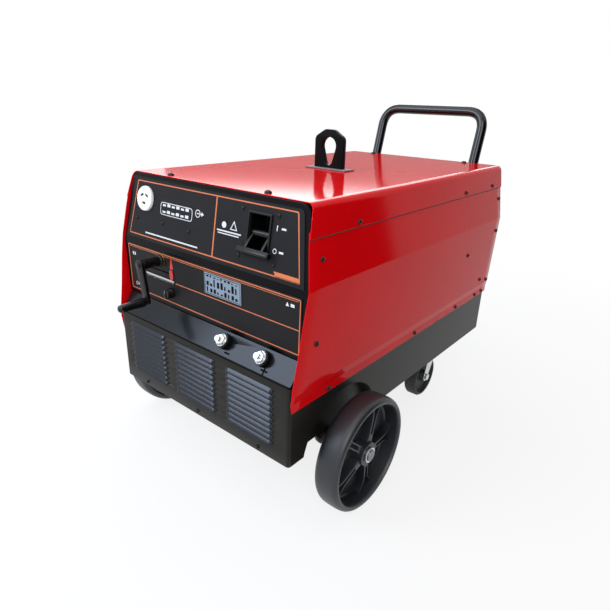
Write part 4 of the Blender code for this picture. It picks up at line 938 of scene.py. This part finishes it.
def selector_knob():
    """Fluted knob with a white index line."""
    place = placed(-0.110, FRONT_DEPTH - 0.0184, 0.418) @ ALONG_Y
    knob = turned([(0.0010, 0.0), (0.0088, 0.0), (0.0098, 0.0008), (0.0104, 0.0030), (0.0112, 0.0120),
                   (0.0119, 0.0135), (0.0119, 0.0162), (0.0112, 0.0166)], 72)
    for vertex in knob.data.vertices:
        turn = math.atan2(vertex.co.y, vertex.co.x)
        if 0.0006 < vertex.co.z < 0.0125 and vertex.co.xy.length > 0.009:
            shrink = 1.0 - 0.045 * (0.5 + 0.5 * math.cos(12 * turn))
            vertex.co.x, vertex.co.y = vertex.co.x * shrink, vertex.co.y * shrink
    ridge = rounded(block((-0.0018, -0.0095, -0.0018), (0.0018, 0.0095, 0.0012)), 0.0006, 2)
    obj = finish(join([knob, ridge]), "selector_knob_moulding", NYLON, place, "knob")
    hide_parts("selector_knob")
    mark = block((-0.0004, -0.0092, -0.0020), (0.0004, -0.0020, -0.0016))
    finish(rounded(mark, 0.0001), "selector_knob_index", WHITE_INK, place, "knob")


def power_lever():
    """Two-armed lever with a wide rounded grip bar."""
    place = UPPER @ shift(0.1505, 0.010, 0.089) @ spin(56.9, "X")
    drum = rod((-0.0248, 0.0, 0.0), (1.0, 0.0, 0.0), 0.0496, 0.0078, 40)
    pins = rod((-0.0286, 0.0, 0.0), (1.0, 0.0, 0.0), 0.0572, 0.0038, 24)
    grip = rounded(block((-0.041, -0.0465, -0.0062), (0.041, -0.0340, 0.0062)), 0.0038, 4)
    cheeks = [rounded(block((s - 0.003, -0.0400, -0.0052), (s + 0.003, 0.0, 0.0052)), 0.0012, 2)
              for s in (-0.0215, 0.0215)]
    obj = join([grip, drum, pins] + cheeks)
    finish(obj, "power_lever", NYLON, place, "switch")
    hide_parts("switch_lever")


OUTLET_SLOTS = ((-0.0085, 0.0070, -28.0), (0.0085, 0.0070, 28.0), (0.0, -0.0100, 6.0))    # x, z, degrees


def outlet_blocks(low, high):
    """One block in each of the outlet's slots, turned with it."""
    made = []
    for x, z, turn in OUTLET_SLOTS:
        made.append(block(low, high))
        made[-1].data.transform(shift(x, 0.0, z) @ spin(turn, "Y"))
    return join(made)


def outlet():
    """Round white outlet face with two slanted slots over a nearly level one, and black blocks in them as
    painted shade for the dark openings.
    """
    disc = turned([(0.0004, -0.0062), (0.0215, -0.0060), (0.0240, -0.0066), (0.0259, -0.0062),
                   (0.0272, -0.0045), (0.0276, -0.0020), (0.0276, 0.0), (0.0208, 0.0), (0.0208, 0.0300),
                   (0.0004, 0.0300)], 64)
    disc.data.transform(ALONG_Y)
    cut(disc, outlet_blocks((-0.0060, -0.012, -0.0026), (0.0060, 0.004, 0.0026)))
    rounded(disc, 0.0003, 2, 50)
    face = UPPER @ shift(-0.204, -0.0018, 0.1055)
    obj = finish(disc, "outlet_face", UREA, face)
    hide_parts("outlet_socket")
    # Black blocks filling the shallow slots: painted shade that stands for the dark inside of the openings.
    slot_shade = rounded(outlet_blocks((-0.0059, -0.0052, -0.0025), (0.0059, 0.003, 0.0025)), 0.0005)
    finish(slot_shade, "outlet_shutters", NYLON, face)


def output_nut(name, x):
    """Flanged hexagon nut with chamfered corners over a thick washer."""
    nut = turned([(0.0063, -0.0220), (0.0100, -0.0220), (0.0125, -0.0205), (0.0125, -0.0158),
                  (0.0063, -0.0158)], 6, closed=True)
    washer = turned([(0.0063, -0.0157), (0.0128, -0.0157), (0.0135, -0.0150), (0.0135, -0.0130),
                     (0.0063, -0.0128)], 48, closed=True)
    obj = join([rounded(nut, 0.0005, 2, 25), washer])
    finish(obj, f"output_nut_{name}", ZINC,
           LEDGE @ shift(x, 0.0, STUD_UP) @ ALONG_Y)
    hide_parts(f"stud_nut_{name}")
    dress(f"output_stud_{name}", ZINC, 0.0008, 3)
    dress(f"stud_insulator_{name}", NYLON, 0.0008, 3)


crank()
bush_shroud()
pointer()
selector_knob()
power_lever()
outlet()
for name, x in STUDS:
    output_nut(name, x)
dress("lead_screw", STEEL)
dress("crank_bush", BRASS, 0.0003)
dress("switch_bezel", NYLON, 0.0009, 3)
dress("switch_body", NYLON, 0.0005)


# ---- running gear ----
WHEEL_INNER_X, WHEEL_WIDTH = 0.297, 0.057
HALF_TREAD = [(0.1143, 0.0530), (0.1160, 0.0560), (0.1190, 0.0569), (0.1222, 0.0566), (0.1252, 0.0546),
              (0.1278, 0.0510), (0.1291, 0.0465), (0.1298, 0.0400)]
RIB_HALF_WIDTHS = ((0.0240, 0.0100), (0.0420, 0.0078), (0.0700, 0.0078), (0.0860, 0.0100), (0.0980, 0.0150),
                   (0.1080, 0.0225), (0.1135, 0.0280))       # radius, half width


def flared(widths, wall=0.0):
    """Outline of a rib along X, or of the groove that leaves a wall on both sides of it."""
    return [Vector((r, w - wall)) for r, w in widths] + [Vector((r, wall - w)) for r, w in reversed(widths)]


def front_wheel(name, side):
    """Moulded wheel: smooth rounded tread, raised rim ring, deep dish and five flared double ribs."""
    tread = HALF_TREAD + [(0.1300, WHEEL_WIDTH / 2)] + [(r, WHEEL_WIDTH - y) for r, y in reversed(HALF_TREAD)]
    outer_dish = [(0.0135, 0.0490), (0.0250, 0.0490), (0.0266, 0.0480), (0.0272, 0.0300), (0.0290, 0.0235),
                  (0.0600, 0.0205), (0.1000, 0.0180), (0.1085, 0.0185), (0.1120, 0.0215), (0.1138, 0.0490)]
    inner_dish = [(0.1125, 0.0090), (0.0600, 0.0125), (0.0290, 0.0120), (0.0270, 0.0100), (0.0266, 0.0006),
                  (0.0250, 0.0), (0.0135, 0.0)]
    body = turned(outer_dish + tread + inner_dish, 112, closed=True)
    rib = flat_outline([flared(RIB_HALF_WIDTHS)], 0.0260, 0.0012)
    rib.data.transform(shift(0.0, 0.0, 0.0430) @ ALONG_Y)
    hollow = flat_outline([flared(RIB_HALF_WIDTHS[1:], 0.0036)], 0.0140, 0.0004)
    hollow.data.transform(shift(0.0, 0.0, 0.0450) @ ALONG_Y)
    cut(rib, hollow)
    for vertex in rib.data.vertices:
        fall = max(0.0, vertex.co.xy.length - 0.030) / 0.085
        vertex.co.z -= 0.0080 * fall * (vertex.co.z - 0.017) / 0.026
    ribs = copies(rib, [spin(72 * n + 12, "Z") for n in range(5)])
    place = placed(side * WHEEL_INNER_X, AXLE_DEPTH, WHEEL_RADIUS) @ spin(90 * side, "Y")
    finish(body, f"wheel_moulding_{name}", WHEEL, place, f"wheel_{name}", smooth=30.0)
    finish(ribs, f"wheel_ribs_{name}", WHEEL, place, f"wheel_{name}", smooth=40.0)
    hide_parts(f"front_wheel_{name}")
    dress(f"axle_nut_{name}", ZINC, 0.0010, 3)


for name, side in SIDES:
    front_wheel(name, side)
    dress(f"axle_bracket_{name}", BLACK, 0.0010)
    for part, look in (("plate", ZINC), ("fork", ZINC), ("bolt", ZINC), ("wheel", TYRE)):
        dress(f"caster_{part}_{name}", look, 0.0008)
for name in ("front_axle", "lift_frame", "transformer_core", "moving_core", "fan_motor"):
    dress(name, STEEL, 0.0010)
for name in ("primary_coil", "secondary_coil", "choke_coil"):
    dress(name, COPPER, 0.0030, 3)
for name, look, width in (("rear_panel", BLACK, 0.0006), ("rectifier_stack", ALUMINIUM, 0.0004),
                          ("fan_blade", NYLON, 0.0005), ("fan_guard", ZINC, 0.0010),
                          ("cable_gland", NYLON, 0.0008), ("terminal_board", PHENOLIC, 0.0005)):
    dress(name, look, width)


# ---- screws ----
def screws(name, places, size):
    """Pan-head screws with a cross recess, each standing on a face along its place's local Z."""
    head = turned([(0.0004, 0.0036), (0.0026, 0.0034), (0.0040, 0.0026), (0.0047, 0.0014), (0.0049, 0.0)], 20)
    cross = [block((-0.0026, -0.0006, 0.0022), (0.0026, 0.0006, 0.0050)),
             block((-0.0006, -0.0026, 0.0022), (0.0006, 0.0026, 0.0050))]
    for arm in cross:
        cut(head, arm)
    head.data.transform(Matrix.Scale(size, 4))
    finish(copies(head, places), name, DARK_ZINC, smooth=40.0)


def on_side(depth, z, cover=0.0):
    """Screw places on both red sides, square to them."""
    lean = math.atan((side_x(z + 0.004) - side_x(z - 0.004)) / 0.008)
    return [placed(side * (side_x(z) + cover), depth, z)
            @ Matrix.Rotation(side * (math.pi / 2 - lean), 4, "Y") for side in (-1, 1)]


side_places = []
for depth, z in ((0.074, 0.572), (0.061, 0.414), (0.726, 0.445), (0.859, 0.342), (0.914, 0.578),
                 (0.914, 0.484), (0.914, 0.329)):
    side_places += on_side(depth, z)
for depth in (0.114, 0.471, 0.710, 0.847, 0.896):
    side_places += on_side(depth, 0.295)
for depth in (0.192, 0.679, 0.858):
    side_places += on_side(depth, 0.6195, COVER_STEP)
screws("side_screws", side_places, size=1.15)
roof_spots = ((-0.145, 0.077), (0.145, 0.077), (-0.160, 0.905), (0.160, 0.905))
screws("roof_screws", [placed(x, depth, CASE_TOP_Z) for x, depth in roof_spots], size=1.5)
front_places = [placed(x, 0.0, 0.171) @ spin(90, "X") for x in (-0.190, 0.0, 0.190)]
screws("front_screws", front_places, size=0.9)
plate_spots = ((-0.236, 0.567), (-0.141, 0.569), (-0.050, 0.567), (0.103, 0.550), (0.194, 0.550),
               (0.103, 0.638), (0.194, 0.638))
plate_places = [UPPER @ shift(x, -PLATE_FACE, up_slope(z)) @ spin(90, "X") for x, z in plate_spots]
screws("nameplate_screws", plate_places, size=0.85)


# ---- camera, light and floor ----
def make_camera():
    """Wide lens beside the right front corner, looking down on the roof."""
    data = bpy.data.cameras.new("camera")
    data.lens = 29.95
    data.sensor_width = 36.0
    camera = linked("camera", data)
    yaw, pitch, roll = 39.14, 22.0, 1.86
    turn = spin(yaw, "Z") @ spin(90.0 - pitch, "X") @ spin(roll, "Z")
    camera.matrix_world = placed(0.794, -0.603, 0.829) @ turn
    bpy.context.scene.camera = camera


def area_light(name, place, target, size, power, colour="#FFFFFF"):
    data = bpy.data.lights.new(name, "AREA")
    data.shape = "RECTANGLE"
    data.size, data.size_y = size
    data.energy = power
    data.color = linear(colour)[:3]
    lamp = linked(name, data)
    lamp.location = place
    lamp.rotation_euler = (Vector(target) - Vector(place)).to_track_quat("-Z", "Y").to_euler()


def see_background(tree):
    """1 for rays from the camera, off gloss and through clear pieces."""
    path = node(tree, "LightPath")
    seen = path.outputs["Is Camera Ray"]
    for ray in ("Is Glossy Ray", "Is Transmission Ray"):
        seen = node(tree, "Math", {"operation": "MAXIMUM"}, {0: seen, 1: path.outputs[ray]}).outputs[0]
    return seen


def make_world():
    """Even pale fill on the object, and plain white wherever the background itself is seen."""
    world = bpy.data.worlds.new("studio")
    world.use_nodes = True
    bpy.context.scene.world = world
    tree = world.node_tree
    fill = tree.nodes["Background"]
    fill.inputs["Color"].default_value = linear("#EEF2F6")
    fill.inputs["Strength"].default_value = 0.55
    white = node(tree, "Background", {"Color": (1.0, 1.0, 1.0, 1.0), "Strength": 1.0})
    mixed = node(tree, "MixShader", None, {0: see_background(tree), 1: fill.outputs[0], 2: white.outputs[0]})
    tree.links.new(mixed.outputs[0], tree.nodes["World Output"].inputs["Surface"])


def make_floor():
    """Pale floor that keeps the object's shadow and goes over to white away from it."""
    bpy.ops.mesh.primitive_plane_add(size=14.0)
    floor = bpy.context.object
    floor.name = "floor"
    made, tree, shader = new_material("studio_floor_white", "#E8E8E8", 0.9, level=0.0)
    place = node(tree, "TexCoord").outputs["Object"]
    far = node(tree, "VectorMath", {"operation": "LENGTH"}, {0: place})
    share = remap(tree, far.outputs["Value"], 0.7, 2.0, 0.82, 1.0)
    level = node(tree, "Math", {"operation": "MULTIPLY"}, {0: see_background(tree), 1: share})
    white = node(tree, "Emission", {"Color": (1.0, 1.0, 1.0, 1.0), "Strength": 1.0})
    both = node(tree, "MixShader", None, {0: level.outputs[0], 1: shader.outputs[0], 2: white.outputs[0]})
    tree.links.new(both.outputs[0], tree.nodes["Material Output"].inputs["Surface"])
    floor.data.materials.append(made)


def hide_from_camera(obj, name, made):
    """Studio piece that the gloss mirrors and the camera doesn't see."""
    obj.name = name
    obj.data.materials.append(made)
    obj.visible_camera = False


def make_grey_wall(name, left, right, top, colour):
    """Grey wall behind the machine, mirrored in the roof."""
    wall = block((left, 0.0, 0.0), (right, 0.02, top))
    wall.data.transform(shift(-2.2, 2.9, 0.0) @ spin(39.0, "Z"))
    made, tree, shader = new_material(name, "#000000", 0.9, level=0.0)
    shader.inputs["Emission Color"].default_value = linear(colour)
    shader.inputs["Emission Strength"].default_value = 1.0
    hide_from_camera(wall, name, made)


def make_card(name, low, high, colour):
    """Dark card beside the machine, mirrored in the glossy side."""
    hide_from_camera(block(low, high), name, new_material(name, colour, 0.9, level=0.0)[0])


make_camera()
make_world()
make_floor()
make_grey_wall("grey_wall", -1.9, 3.6, 1.27, "#A4A4A4")
make_grey_wall("grey_wall_left", -4.6, -1.9, 2.4, "#C4C4C4")
make_card("dark_card_right", (2.0, -1.2, 0.0), (2.02, 2.6, 2.2), "#2A2A2C")
area_light("softbox_over", (-0.4, -0.6, 2.6), (0.0, 0.0, 0.5), (2.4, 2.4), 27.0)
area_light("softbox_front_right", (1.8, -2.3, 2.4), (0.0, -0.1, 0.4), (2.0, 1.8), 42.0)
area_light("softbox_front_left", (-1.35, -2.35, 2.0), (0.2, -0.45, 0.36), (1.4, 1.4), 52.0, "#CFE0FA")
area_light("softbox_behind", (-1.9, 2.5, 1.90), (0.0, -0.1, 0.67), (3.6, 1.3), 50.0)
area_light("softbox_left", (-2.4, 0.4, 1.4), (0.0, 0.0, 0.5), (1.6, 1.2), 8.0)
bpy.context.scene.view_settings.view_transform = "Standard"
